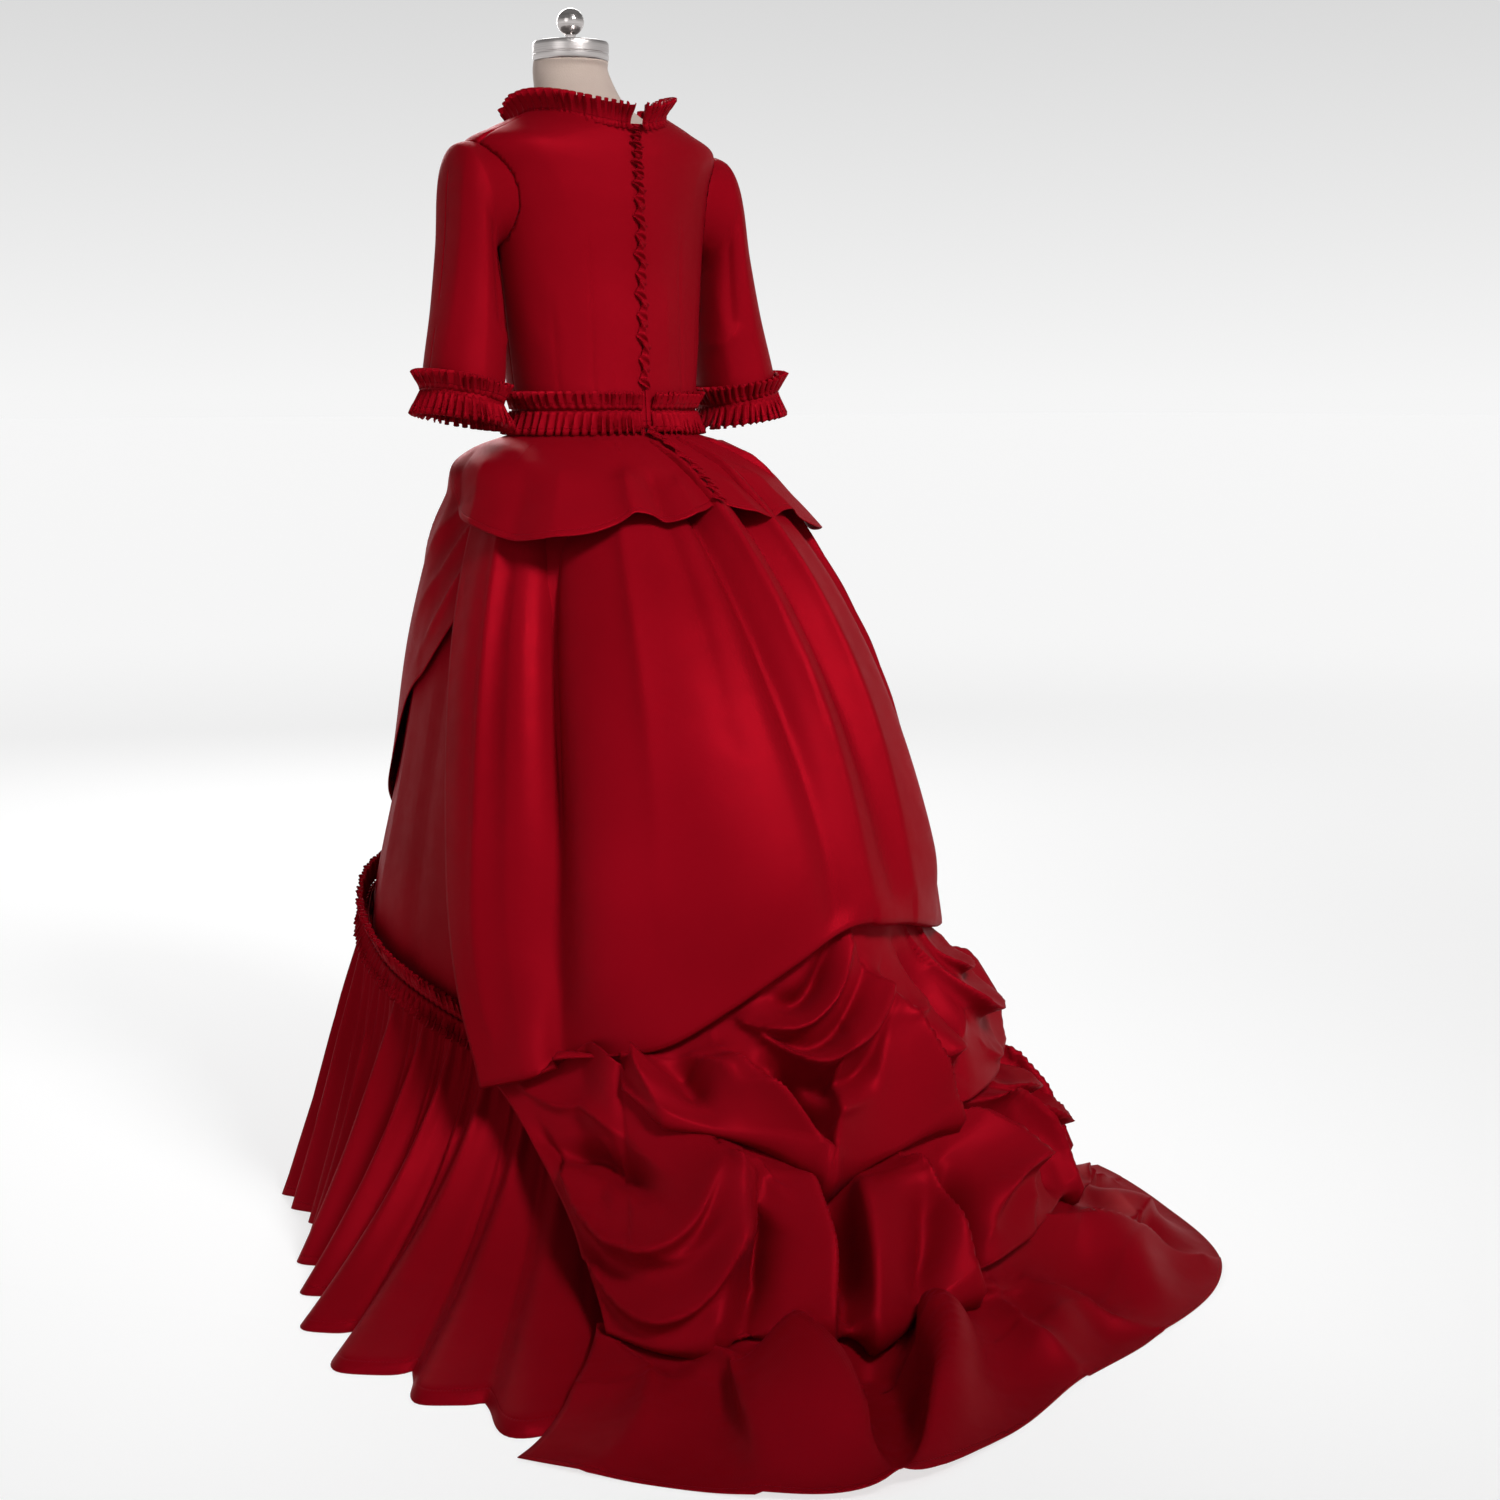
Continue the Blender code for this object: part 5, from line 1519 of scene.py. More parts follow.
for name, rise, flare, lift, seed in (
    ("upper", 0.024, 0.007, -0.0004, 1.3), ("lower", -0.024, 0.010, -0.0028, 3.7)
):
    edge = ring_edge(heading_ring(lift), FULL_TURN - HEADING_END, HEADING_END)
    make_frill("heading_frill_" + name + "_satin", "heading_frill_" + name, 1180,
               frill_shape(edge, 148, rise, flare, 0.0052, seed), HEADING_CUT)

# %% [markdown]
# ## Apron of the overskirt
#
# The apron hangs from the waist in front and slips under the back drape at each
# side. Its hem rises to the sides, so folds run up from the hem towards the place
# where the cloth is pulled back over the bustle.

# %% Apron
ApronHem = namedtuple("ApronHem", "bearing height")
APRON_HEM = (
    ApronHem(68.0, 0.880),
    ApronHem(76.0, 0.822),
    ApronHem(88.0, 0.752),
    ApronHem(103.0, 0.690),
    ApronHem(112.0, 0.615),
    ApronHem(130.0, 0.540),
    ApronHem(155.0, 0.490),
    ApronHem(180.0, 0.475),
)
APRON_EDGE = 74.0           # bearing where the apron slips under the back drape
APRON_INSET = 0.011         # the apron lies this far inside the back drape
APRON_ROWS = 6
APRON_TUCK = 0.0042         # and this far inside it along the waist
APRON_CUT = Cut(0.92, 0.62)
HEM_CLEAR = 0.010           # the apron's hem lies this far off the underskirt
SLIP_END = 92.0             # bearing where the apron comes out from under the back drape
SLIP_BLEND = 12.0
HANG_FREE = 0.55            # below this share of its length it falls in to the underskirt
APRON_FOLDS = (
    Fold(0.00, 0.30, 0.08, 0.52, 0.20, 0.66, 0.020, 0.0090, 0.3, 0.6, 0.0),
    Fold(0.00, 0.50, 0.07, 0.68, 0.16, 0.80, 0.018, 0.0080, 0.3, 0.6, 0.0),
    Fold(0.02, 0.10, 0.08, 0.30, 0.18, 0.48, 0.020, 0.0070, 0.2, 0.4, 0.0),
    Fold(0.00, 0.72, 0.05, 0.84, 0.11, 0.93, 0.014, 0.0060, 0.2, 0.6, 0.2),
    Fold(0.17, 0.25, 0.36, 0.52, 0.56, 0.57, 0.026, 0.0090, 0.3, 0.1, 0.0),
    Fold(0.14, 0.42, 0.34, 0.68, 0.60, 0.74, 0.024, 0.0085, 0.3, 0.0, 0.0),
    Fold(1.00, 0.32, 0.92, 0.54, 0.78, 0.68, 0.020, 0.0085, -0.3, 0.6, 0.0),
    Fold(1.00, 0.52, 0.94, 0.70, 0.84, 0.82, 0.018, 0.0078, -0.3, 0.6, 0.0),
    Fold(0.98, 0.12, 0.91, 0.33, 0.82, 0.50, 0.020, 0.0068, -0.2, 0.4, 0.0),
    Fold(0.84, 0.22, 0.66, 0.46, 0.46, 0.50, 0.026, 0.0085, -0.3, 0.1, 0.0),
    Fold(0.86, 0.40, 0.68, 0.64, 0.44, 0.66, 0.024, 0.0080, -0.3, 0.0, 0.0),
    Fold(0.30, 0.02, 0.31, 0.14, 0.33, 0.34, 0.010, 0.0040, 0.0, 1.0, 0.0),
    Fold(0.40, 0.02, 0.40, 0.12, 0.41, 0.28, 0.009, 0.0035, 0.0, 1.0, 0.0),
    Fold(0.58, 0.02, 0.58, 0.14, 0.57, 0.30, 0.009, 0.0035, 0.0, 1.0, 0.0),
    Fold(0.69, 0.02, 0.68, 0.13, 0.66, 0.32, 0.010, 0.0040, 0.0, 1.0, 0.0),
)


def apron_point(u, t):
    bearing = APRON_EDGE + (FULL_TURN - 2.0 * APRON_EDGE) * u
    side = fold_bearing(bearing)
    top = OVERSKIRT[0].height
    hem = at_bearing(APRON_HEM, "height", side)
    z = skirt_height(top, hem, t, APRON_ROWS)
    inset = APRON_TUCK + (APRON_INSET - APRON_TUCK) * ease((top - z) / 0.03)
    radius = skirt_radius(OVERSKIRT, side, z) - inset * (1.0 - ease((side - SLIP_END) / SLIP_BLEND))
    under = np.minimum(skirt_radius(UNDERSKIRT, side, z) + HEM_CLEAR, radius)
    return polar(bearing, radius + (under - radius) * ease((t - HANG_FREE) / 0.45), z)


apron = sheet_object("front_apron_satin", 150, 80, apron_point, APRON_CUT, APRON_FOLDS, True)
finish_cloth(apron, "front_apron")
print("apron folds", len(APRON_FOLDS))

# %% [markdown]
# ## Back drape
#
# The back drape falls from the waist over the bustle in soft pleats, puffs out and
# is tied up, so its lower edge is a fold and not a hem. The last part of the sheet
# turns under that fold. Big pleats come from a table of bearings. The deep hollow
# near the left edge, small gathers and drag lines are drawn on the cut.

# %% Back drape
# Edge of the back drape: where it stops sideways at each height.
DrapeEdge = namedtuple("DrapeEdge", "height left right")
DRAPE_EDGES = (
    DrapeEdge(1.049, 84.0, -84.0),
    DrapeEdge(0.935, 80.0, -80.0),
    DrapeEdge(0.750, 72.0, -72.0),
    DrapeEdge(0.590, 66.0, -66.0),
    DrapeEdge(0.430, 61.0, -60.0),
    DrapeEdge(0.250, 52.0, -56.0),
)
# Lower fold of the back drape: it dips to a corner at the left and is tacked up
# behind, so the height rises to the tack and stays high at the right.
DrapeFold = namedtuple("DrapeFold", "bearing height")
DRAPE_FOLD = (
    DrapeFold(-61.0, 0.375),
    DrapeFold(-41.0, 0.398),
    DrapeFold(-22.0, 0.428),
    DrapeFold(-8.0, 0.456),
    DrapeFold(1.0, 0.462),
    DrapeFold(9.0, 0.420),
    DrapeFold(17.0, 0.370),
    DrapeFold(24.0, 0.330),
    DrapeFold(33.0, 0.304),
    DrapeFold(42.0, 0.284),
    DrapeFold(54.0, 0.256),
)
# Pleats falling from the waist of the back drape; a positive depth is a ridge.
Pleat = namedtuple("Pleat", "top_bearing low_bearing top_width low_width depth")
BACK_PLEATS = (
    Pleat(68.0, 56.0, 5.0, 5.0, 0.007),
    Pleat(58.0, 47.0, 5.0, 6.0, -0.012),
    Pleat(44.0, 36.0, 7.0, 7.0, 0.012),
    Pleat(27.0, 23.0, 6.0, 6.0, -0.006),
    Pleat(10.0, 10.0, 8.0, 9.0, 0.010),
    Pleat(-10.0, -8.0, 6.0, 6.0, -0.008),
    Pleat(-27.0, -22.0, 7.0, 7.0, 0.011),
    Pleat(-45.0, -36.0, 6.0, 6.0, -0.011),
    Pleat(-62.0, -50.0, 6.0, 6.0, 0.009),
)
LIP = 0.022                 # how far in a tier's cloth turns under its fold
LIP_DROP = 0.006            # and how far down it bulges as it does
LIP_SHARE = 0.055           # share of a tier's length that turns under at its fold
DRAPE_CUT = Cut(0.98, 0.90)
DRAPE_ROWS = 8
EDGE_ROUNDS = 6             # bearing and height depend on each other: settled in so many rounds
BACK_DRAPE_FOLDS = (
    Fold(0.160, 0.13, 0.140, 0.52, 0.078, 0.94, 0.026, 0.0060, 0.0, 0.4, 0.4),
    Fold(0.218, 0.13, 0.198, 0.52, 0.140, 0.94, 0.038, -0.0620, 0.5, 0.3, 0.5),
    Fold(0.108, 0.14, 0.100, 0.45, 0.040, 0.88, 0.016, 0.0100, 0.4, 0.5, 0.4),
    Fold(0.316, 0.10, 0.330, 0.40, 0.300, 0.80, 0.020, 0.0080, 0.5, 0.8, 0.2),
    Fold(0.385, 0.10, 0.398, 0.36, 0.404, 0.72, 0.014, -0.0060, 0.0, 0.8, 0.1),
    Fold(0.432, 0.12, 0.462, 0.48, 0.486, 0.92, 0.018, -0.0220, 0.0, 0.3, 0.5),
    Fold(0.474, 0.12, 0.506, 0.48, 0.530, 0.92, 0.020, 0.0180, 0.6, 0.4, 0.4),
    Fold(0.545, 0.10, 0.560, 0.48, 0.575, 0.90, 0.016, -0.0140, 0.0, 0.4, 0.4),
    Fold(0.596, 0.10, 0.604, 0.46, 0.612, 0.90, 0.020, 0.0180, 0.5, 0.5, 0.4),
    Fold(0.690, 0.10, 0.710, 0.46, 0.730, 0.90, 0.020, -0.0200, 0.0, 0.4, 0.4),
    Fold(0.750, 0.12, 0.780, 0.46, 0.810, 0.88, 0.022, 0.0200, 0.5, 0.4, 0.4),
    Fold(0.825, 0.14, 0.850, 0.46, 0.880, 0.88, 0.018, -0.0180, 0.0, 0.4, 0.4),
    Fold(0.888, 0.14, 0.910, 0.46, 0.940, 0.88, 0.020, 0.0160, -0.5, 0.4, 0.4),
    Fold(0.260, 0.10, 0.262, 0.20, 0.265, 0.32, 0.007, 0.0040, 0.0, 0.8, 0.0),
    Fold(0.350, 0.10, 0.352, 0.18, 0.356, 0.28, 0.007, 0.0040, 0.0, 0.8, 0.0),
    Fold(0.510, 0.08, 0.515, 0.17, 0.520, 0.28, 0.007, 0.0040, 0.0, 0.8, 0.0),
    Fold(0.650, 0.09, 0.660, 0.18, 0.670, 0.30, 0.007, 0.0040, 0.0, 0.8, 0.0),
)


def pleat_depth(bearing, z):
    """Total of the back drape's pleats; they grow out of the waist."""
    down = ease((1.0 - z) / 0.7)
    total = 0.0 * bearing
    for pleat in BACK_PLEATS:
        centre = pleat.top_bearing + (pleat.low_bearing - pleat.top_bearing) * down
        width = pleat.top_width + (pleat.low_width - pleat.top_width) * down
        total = total + pleat.depth * bump(bearing - centre, width)
    low = at_bearing(DRAPE_FOLD, "height", bearing)
    return total * ease((1.02 - z) / 0.12) * ease((z - low) / 0.10)


def turned_under(t):
    """Split a tier's length into its hanging part and the lip that turns under."""
    body = 1.0 - LIP_SHARE
    return np.minimum(t / body, 1.0), np.clip((t - body) / LIP_SHARE, 0.0, 1.0)


def back_drape_point(u, t):
    top = OVERSKIRT[0].height
    down, tuck = turned_under(t)
    heights = column(DRAPE_EDGES, "height")
    z = np.full_like(u, top)
    for _ in range(EDGE_ROUNDS):
        left = between(heights, column(DRAPE_EDGES, "left"), z)
        right = between(heights, column(DRAPE_EDGES, "right"), z)
        bearing = left + (right - left) * u
        z = skirt_height(top, at_bearing(DRAPE_FOLD, "height", bearing), down, DRAPE_ROWS - 1)
    radius = skirt_radius(OVERSKIRT, bearing, z) + pleat_depth(bearing, z)
    return polar(bearing, radius - LIP * tuck**1.3, z - LIP_DROP * np.sin(np.pi * tuck))


drape = sheet_object("back_drape_satin", 200, 116, back_drape_point, DRAPE_CUT, BACK_DRAPE_FOLDS)
finish_cloth(drape, "back_drape")
print("back drape box", [round(value, 3) for value in drape.dimensions])

# %% [markdown]
# ## Tied-up swags
#
# Below its fold the same cloth is tied up twice more and then runs out on the
# floor. Each tier starts inside the fold above it. The heavy folds hang between the
# ties like ropes. They are drawn one by one: each fades towards its ends, and most
# lean over to one side.

# %% Tables of the swags
# A swag starts inside the fold above it, swells outwards and turns under at its
# own lower fold, given here by bearing.
Swag = namedtuple("Swag", "bearing low_r low_z swell")
UPPER_SWAG = (
    Swag(31.0, 0.545, 0.284, 0.002),
    Swag(27.0, 0.590, 0.262, 0.006),
    Swag(21.0, 0.622, 0.246, 0.010),
    Swag(15.0, 0.640, 0.230, 0.014),
    Swag(9.0, 0.658, 0.200, 0.018),
    Swag(3.0, 0.660, 0.204, 0.020),
    Swag(-5.0, 0.648, 0.226, 0.020),
    Swag(-14.0, 0.628, 0.236, 0.020),
    Swag(-26.0, 0.592, 0.240, 0.018),
    Swag(-40.0, 0.525, 0.250, 0.014),
    Swag(-56.0, 0.466, 0.252, 0.006),
)
LOWER_SWAG = (
    Swag(33.0, 0.748, 0.056, 0.004),
    Swag(29.0, 0.788, 0.050, 0.010),
    Swag(25.0, 0.798, 0.052, 0.014),
    Swag(20.5, 0.800, 0.062, 0.018),
    Swag(16.0, 0.804, 0.060, 0.020),
    Swag(11.0, 0.812, 0.054, 0.020),
    Swag(6.5, 0.808, 0.064, 0.020),
    Swag(1.0, 0.790, 0.080, 0.020),
    Swag(-12.0, 0.745, 0.100, 0.020),
    Swag(-27.0, 0.680, 0.106, 0.018),
    Swag(-42.0, 0.598, 0.122, 0.014),
    Swag(-56.0, 0.530, 0.140, 0.006),
)
UPPER_TUCK = (0.0038, 0.0030)    # how far in from the lip above, and up, a tier starts
LOWER_TUCK = (0.0045, 0.0010)
TRAIN_TUCK = (0.0064, -0.0015)
UPPER_SWAG_CORNER = 31.0    # bearing of each swag's left corner, up inside the fold above
LOWER_SWAG_CORNER = 52.0
CORNER_AT = 33.5            # bearing where the fold above steps up to the back drape
CORNER_RISE = 0.030         # the next tier reaches this much higher inside it there
CORNER_WIDTH = 4.5          # bearings that this step is wide
SWAG_MERGE = 5.0            # bearings over which one fold above gives way to the next
SWELL_OUT = 0.8             # share of a tier's swell that goes outwards
SWELL_UP = 0.5              # and upwards
UPPER_SWAG_CUT = Cut(1.02, 0.29)
LOWER_SWAG_CUT = Cut(1.20, 0.34)
UPPER_SWAG_FOLDS = (
    Fold(0.192, 0.22, 0.270, 0.34, 0.352, 0.12, 0.013, 0.0324, 0.5, 0.4, 0.4),
    Fold(0.212, 0.36, 0.288, 0.53, 0.375, 0.36, 0.015, 0.0432, 0.5, 0.4, 0.5),
    Fold(0.230, 0.13, 0.275, 0.21, 0.335, 0.05, 0.012, -0.0330, 0.0, 0.2, 0.3),
    Fold(0.212, 0.30, 0.282, 0.44, 0.364, 0.25, 0.009, -0.0240, 0.0, 0.2, 0.3),
    Fold(0.230, 0.56, 0.290, 0.66, 0.340, 0.56, 0.014, -0.0330, 0.0, 0.2, 0.2),
    Fold(0.045, 0.30, 0.030, 0.60, 0.052, 0.92, 0.020, 0.0356, 0.6, 0.2, 0.4),
    Fold(0.085, 0.30, 0.090, 0.55, 0.110, 0.82, 0.018, -0.0300, 0.0, 0.2, 0.2),
    Fold(0.142, 0.38, 0.165, 0.68, 0.238, 0.96, 0.022, 0.0432, -0.5, 0.3, 0.7),
    Fold(0.200, 0.52, 0.228, 0.70, 0.236, 0.86, 0.016, -0.0420, 0.0, 0.3, 0.3),
    Fold(0.303, 0.50, 0.282, 0.72, 0.248, 0.96, 0.020, 0.0432, 0.5, 0.3, 0.7),
    Fold(0.372, 0.34, 0.392, 0.66, 0.434, 0.95, 0.020, 0.0432, -0.6, 0.3, 0.6),
    Fold(0.420, 0.50, 0.450, 0.74, 0.480, 0.92, 0.016, -0.0300, 0.0, 0.2, 0.3),
    Fold(0.400, 0.62, 0.470, 0.70, 0.560, 0.62, 0.020, 0.0302, 0.5, 0.2, 0.3),
    Fold(0.480, 0.15, 0.520, 0.45, 0.500, 0.80, 0.018, -0.0330, 0.0, 0.2, 0.3),
    Fold(0.560, 0.30, 0.640, 0.60, 0.720, 0.42, 0.020, 0.0410, 0.8, 0.4, 0.4),
    Fold(0.590, 0.12, 0.655, 0.36, 0.730, 0.16, 0.016, 0.0302, 0.8, 0.3, 0.3),
    Fold(0.745, 0.20, 0.770, 0.60, 0.750, 0.95, 0.022, 0.0410, -0.5, 0.3, 0.6),
    Fold(0.790, 0.30, 0.815, 0.60, 0.805, 0.88, 0.018, -0.0390, 0.0, 0.2, 0.3),
    Fold(0.820, 0.30, 0.865, 0.66, 0.930, 0.45, 0.018, 0.0346, 0.8, 0.3, 0.3),
    Fold(0.940, 0.20, 0.920, 0.60, 0.880, 0.92, 0.018, 0.0240, 0.4, 0.3, 0.4),
    Fold(0.108, 0.34, 0.126, 0.54, 0.150, 0.78, 0.008, 0.0110, -0.4, 0.4, 0.2),
    Fold(0.236, 0.93, 0.262, 0.80, 0.330, 0.74, 0.008, 0.0100, 0.4, 0.5, 0.1),
    Fold(0.234, 0.92, 0.190, 0.78, 0.130, 0.70, 0.008, 0.0100, 0.4, 0.5, 0.1),
    Fold(0.384, 0.40, 0.350, 0.56, 0.330, 0.76, 0.009, 0.0100, 0.4, 0.4, 0.1),
    Fold(0.395, 0.42, 0.440, 0.50, 0.490, 0.46, 0.008, 0.0110, 0.4, 0.4, 0.2),
    Fold(0.610, 0.80, 0.650, 0.88, 0.700, 0.82, 0.010, 0.0120, 0.4, 0.3, 0.3),
)
LOWER_SWAG_FOLDS = (
    Fold(0.026, 0.50, 0.074, 0.66, 0.250, 0.13, 0.020, 0.0454, 0.8, 0.4, 0.4),
    Fold(0.010, 0.80, 0.100, 0.80, 0.268, 0.18, 0.014, 0.0260, 0.9, 0.5, 0.3),
    Fold(0.020, 0.32, 0.080, 0.42, 0.160, 0.28, 0.018, -0.0420, 0.0, 0.3, 0.0),
    Fold(0.273, 0.10, 0.180, 0.50, 0.100, 0.90, 0.022, 0.0497, -0.4, 0.3, 0.6),
    Fold(0.236, 0.34, 0.168, 0.66, 0.120, 0.94, 0.016, -0.0480, 0.0, 0.2, 0.4),
    Fold(0.317, 0.12, 0.256, 0.48, 0.190, 0.93, 0.024, 0.0497, -0.6, 0.3, 0.7),
    Fold(0.336, 0.30, 0.286, 0.58, 0.226, 0.88, 0.016, -0.0480, 0.0, 0.2, 0.4),
    Fold(0.392, 0.18, 0.312, 0.60, 0.246, 0.95, 0.020, 0.0454, 0.4, 0.3, 0.6),
    Fold(0.396, 0.40, 0.346, 0.66, 0.290, 0.94, 0.014, -0.0360, 0.0, 0.2, 0.3),
    Fold(0.448, 0.14, 0.382, 0.54, 0.346, 0.93, 0.024, 0.0497, -0.6, 0.3, 0.7),
    Fold(0.482, 0.34, 0.428, 0.60, 0.380, 0.90, 0.018, -0.0510, 0.0, 0.2, 0.5),
    Fold(0.490, 0.10, 0.545, 0.38, 0.510, 0.80, 0.024, 0.0410, -0.6, 0.3, 0.4),
    Fold(0.430, 0.80, 0.500, 0.64, 0.580, 0.74, 0.018, 0.0324, 0.6, 0.2, 0.2),
    Fold(0.566, 0.14, 0.615, 0.42, 0.590, 0.84, 0.016, -0.0420, 0.0, 0.2, 0.3),
    Fold(0.600, 0.10, 0.660, 0.44, 0.636, 0.94, 0.022, 0.0454, 0.5, 0.3, 0.6),
    Fold(0.690, 0.12, 0.735, 0.42, 0.800, 0.18, 0.018, 0.0367, 0.8, 0.3, 0.3),
    Fold(0.680, 0.38, 0.735, 0.70, 0.810, 0.46, 0.018, 0.0410, 0.8, 0.3, 0.3),
    Fold(0.840, 0.14, 0.815, 0.54, 0.770, 0.94, 0.022, 0.0454, 0.5, 0.3, 0.6),
    Fold(0.868, 0.24, 0.856, 0.58, 0.826, 0.90, 0.016, -0.0420, 0.0, 0.2, 0.3),
    Fold(0.905, 0.12, 0.902, 0.50, 0.872, 0.92, 0.020, 0.0389, -0.4, 0.3, 0.5),
    Fold(0.962, 0.20, 0.965, 0.50, 0.945, 0.86, 0.016, 0.0220, 0.3, 0.3, 0.4),
    Fold(0.040, 0.10, 0.080, 0.24, 0.140, 0.30, 0.009, 0.0110, 0.4, 0.5, 0.1),
    Fold(0.262, 0.12, 0.226, 0.34, 0.212, 0.62, 0.008, 0.0120, 0.4, 0.4, 0.1),
    Fold(0.272, 0.12, 0.250, 0.30, 0.236, 0.52, 0.007, 0.0100, -0.4, 0.4, 0.1),
    Fold(0.316, 0.14, 0.304, 0.34, 0.276, 0.56, 0.008, 0.0110, -0.4, 0.4, 0.1),
    Fold(0.440, 0.16, 0.412, 0.36, 0.396, 0.60, 0.008, 0.0110, 0.4, 0.4, 0.1),
    Fold(0.050, 0.68, 0.110, 0.66, 0.170, 0.50, 0.008, 0.0100, 0.5, 0.3, 0.2),
    Fold(0.130, 0.92, 0.150, 0.78, 0.158, 0.62, 0.008, 0.0090, 0.3, 0.4, 0.1),
    Fold(0.620, 0.12, 0.640, 0.34, 0.620, 0.62, 0.009, 0.0120, 0.4, 0.4, 0.1),
    Fold(0.700, 0.88, 0.740, 0.93, 0.780, 0.86, 0.010, 0.0120, 0.4, 0.3, 0.3),
)
print("swag folds", len(UPPER_SWAG_FOLDS) + len(LOWER_SWAG_FOLDS))

# %% [markdown]
# ## How a tier hangs
#
# Each tier is given the line that it hangs from. It starts a little inside and above
# that line, swells out and down to its own lower fold, and turns under there. The
# lower swag hangs partly from the upper one and partly from the back drape.

# %% Hang the swags
def drape_fold(bearing):
    """Radius and height of the back drape's lower fold."""
    z = at_bearing(DRAPE_FOLD, "height", bearing)
    return skirt_radius(OVERSKIRT, bearing, z), z


def swag_fold(table):
    def fold(bearing):
        return at_bearing(table, "low_r", bearing), at_bearing(table, "low_z", bearing)

    return fold


def fold_over_lower(bearing):
    """What the lower swag hangs from: the upper swag, or the back drape beside it."""
    drape_r, drape_z = drape_fold(bearing)
    swag_r, swag_z = swag_fold(UPPER_SWAG)(bearing)
    share = ease((bearing - UPPER_SWAG[0].bearing - 0.5) / SWAG_MERGE)
    return swag_r + (drape_r - swag_r) * share, swag_z + (drape_z - swag_z) * share


def swag_shape(table, fold_above, tuck_in, corner):
    """A tier that starts tuck_in (gap inwards, height) from the fold above it."""
    bearings = column(table, "bearing")

    def place(u, t):
        left = bearings[0] + (corner - bearings[0]) * (1.0 - t) ** 1.6
        bearing = left + (bearings[-1] - left) * u
        above_r, above_z = fold_above(bearing)
        top_r = above_r - LIP - tuck_in[0]
        top_z = above_z + tuck_in[1] + CORNER_RISE * bump(bearing - CORNER_AT, CORNER_WIDTH)
        low_r, low_z = swag_fold(table)(bearing)
        swell = at_bearing(table, "swell", bearing)
        down, tuck = turned_under(t)
        out = swell * np.sin(np.pi * down**1.5)
        radius = top_r + (low_r - top_r) * down**1.6 + SWELL_OUT * out
        z = top_z + (low_z - top_z) * down + SWELL_UP * out * ease(3.0 * down - 0.4)
        return polar(bearing, radius - LIP * tuck**1.3, z - LIP_DROP * np.sin(np.pi * tuck))

    return place


upper_shape = swag_shape(UPPER_SWAG, drape_fold, UPPER_TUCK, UPPER_SWAG_CORNER)
upper = sheet_object("upper_swag_satin", 220, 76, upper_shape, UPPER_SWAG_CUT, UPPER_SWAG_FOLDS)
finish_cloth(upper, "upper_swag")
lower_shape = swag_shape(LOWER_SWAG, fold_over_lower, LOWER_TUCK, LOWER_SWAG_CORNER)
lower = sheet_object("lower_swag_satin", 230, 88, lower_shape, LOWER_SWAG_CUT, LOWER_SWAG_FOLDS)
finish_cloth(lower, "lower_swag")
print("upper swag", [round(value, 3) for value in upper.dimensions])
print("lower swag", [round(value, 3) for value in lower.dimensions])

# %% [markdown]
# ## Train
#
# The train leaves the lower swag, runs down to a knee and lies on the floor to its
# edge, which fans out at both sides. Long soft folds lie along it, each on its own
# bearing, and sharper ones are drawn on the cut, as on the swags.

# %% Train
# Where the train touches down (its knee) and ends, by bearing.
Train = namedtuple("Train", "bearing knee_r knee_z edge_r")
TRAIN = (
    Train(34.0, 0.840, 0.030, 0.975),
    Train(28.0, 0.850, 0.016, 1.046),
    Train(18.0, 0.865, 0.014, 1.120),
    Train(9.0, 0.865, 0.014, 1.040),
    Train(0.0, 0.860, 0.014, 0.955),
    Train(-10.0, 0.840, 0.014, 0.920),
    Train(-28.0, 0.770, 0.014, 0.880),
    Train(-43.0, 0.670, 0.016, 0.775),
    Train(-56.0, 0.620, 0.022, 0.708),
)
KNEE_AT = 0.5               # share of the train's length that hangs above its knee
TRAIN_SPREAD = 5.0          # the right edge fans out this far on its way down
TRAIN_LEFT_SPREAD = 4.6     # and the left one this far
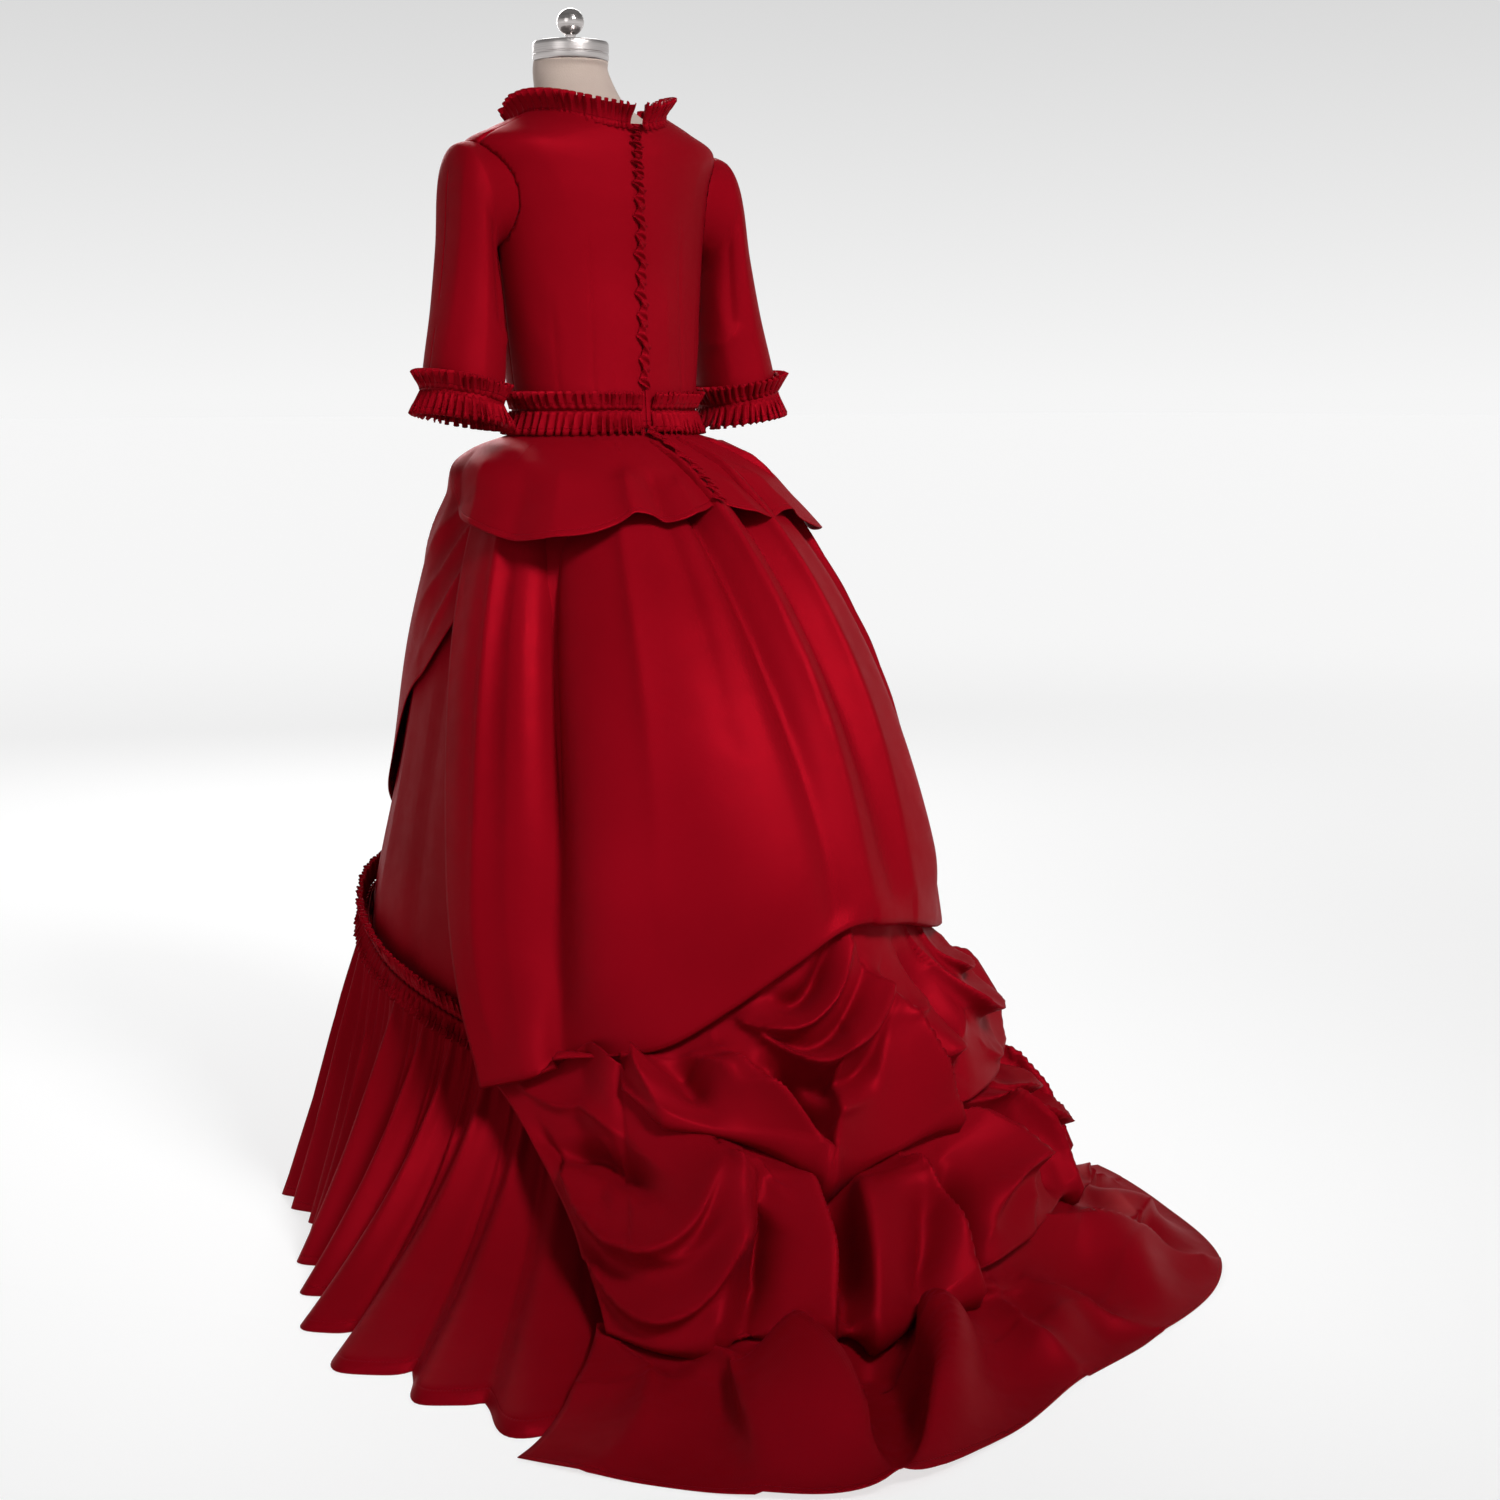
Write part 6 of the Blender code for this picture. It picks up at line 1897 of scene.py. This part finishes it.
# Long soft folds lying on the train, each along its own bearing.
TrainFold = namedtuple("TrainFold", "top_bearing edge_bearing width height")
TRAIN_FOLDS = (
    TrainFold(24.0, 30.0, 2.6, 0.030),
    TrainFold(15.0, 21.0, 3.0, 0.038),
    TrainFold(4.0, 12.0, 3.0, 0.042),
    TrainFold(-8.0, -2.0, 3.4, 0.034),
    TrainFold(-22.0, -16.0, 4.0, 0.036),
    TrainFold(-38.0, -34.0, 4.5, 0.034),
    TrainFold(-52.0, -54.0, 4.0, 0.026),
)
TRAIN_CUT = Cut(1.20, 0.42)
TRAIN_FLOOR_FOLDS = (
    Fold(0.190, 0.04, 0.172, 0.52, 0.188, 1.00, 0.020, 0.0440, -0.6, 0.4, 0.3),
    Fold(0.322, 0.02, 0.284, 0.62, 0.196, 1.00, 0.020, 0.0480, 0.6, 0.5, 0.3),
    Fold(0.246, 0.20, 0.232, 0.54, 0.205, 0.84, 0.022, -0.0300, 0.0, 0.3, 0.2),
    Fold(0.318, 0.02, 0.352, 0.06, 0.405, 0.20, 0.016, 0.0240, 0.6, 0.6, 0.4),
    Fold(0.400, 0.16, 0.384, 0.52, 0.392, 0.90, 0.024, 0.0280, -0.5, 0.3, 0.3),
    Fold(0.450, 0.24, 0.476, 0.58, 0.510, 0.94, 0.022, 0.0180, 0.4, 0.3, 0.3),
    Fold(0.508, 0.02, 0.590, 0.33, 0.688, 0.89, 0.024, 0.0420, -0.5, 0.5, 0.3),
    Fold(0.560, 0.04, 0.670, 0.32, 0.790, 0.72, 0.022, 0.0380, 0.6, 0.4, 0.3),
    Fold(0.640, 0.02, 0.760, 0.24, 0.880, 0.50, 0.022, 0.0340, 0.6, 0.4, 0.3),
    Fold(0.740, 0.02, 0.850, 0.18, 0.950, 0.30, 0.020, 0.0300, 0.6, 0.4, 0.3),
    Fold(0.820, 0.26, 0.880, 0.52, 0.930, 0.84, 0.020, 0.0240, 0.5, 0.3, 0.3),
    Fold(0.020, 0.16, 0.056, 0.54, 0.036, 0.96, 0.020, 0.0220, -0.4, 0.3, 0.3),
    Fold(0.092, 0.06, 0.128, 0.52, 0.122, 0.96, 0.022, 0.0300, 0.6, 0.4, 0.3),
)


def train_point(u, t):
    bearings = column(TRAIN, "bearing")
    bearing = bearings[0] + (bearings[-1] - bearings[0]) * u
    fan = TRAIN_SPREAD * t * u**3 - TRAIN_LEFT_SPREAD * t**1.6 * (1.0 - u) ** 7
    above_r, above_z = swag_fold(LOWER_SWAG)(bearing)
    top_r = above_r - LIP - TRAIN_TUCK[0]
    top_z = above_z + TRAIN_TUCK[1]
    knee_r = at_bearing(TRAIN, "knee_r", bearing)
    knee_z = at_bearing(TRAIN, "knee_z", bearing)
    edge_r = at_bearing(TRAIN, "edge_r", bearing)
    hanging = t < KNEE_AT
    s = np.clip(t / KNEE_AT, 0.0, 1.0)
    flat = np.clip((t - KNEE_AT) / (1.0 - KNEE_AT), 0.0, 1.0)
    hanging_r = top_r + (knee_r - top_r) * s**1.3
    hanging_z = knee_z + (top_z - knee_z) * (1.0 - s) ** 1.5
    radius = np.where(hanging, hanging_r, knee_r + (edge_r - knee_r) * flat)
    z = np.where(hanging, hanging_z, knee_z * (1.0 - flat) ** 2)
    lift = 0.0 * u
    for fold in TRAIN_FOLDS:
        centre = fold.top_bearing + (fold.edge_bearing - fold.top_bearing) * t
        lift = lift + fold.height * bump(bearing - centre, fold.width)
    inside = ease(7.0 * u) * ease(7.0 * (1.0 - u))
    lift = lift * ease(t * 2.2 - 0.2) * (1.0 - ease((t - 0.55) / 0.45)) * inside
    return polar(bearing - fan, radius, z + lift + CLOTH + FLOOR_GAP)


train = sheet_object("train_satin", 220, 110, train_point, TRAIN_CUT, TRAIN_FLOOR_FOLDS)
finish_cloth(train, "train")
print("train box", [round(value, 3) for value in train.dimensions])
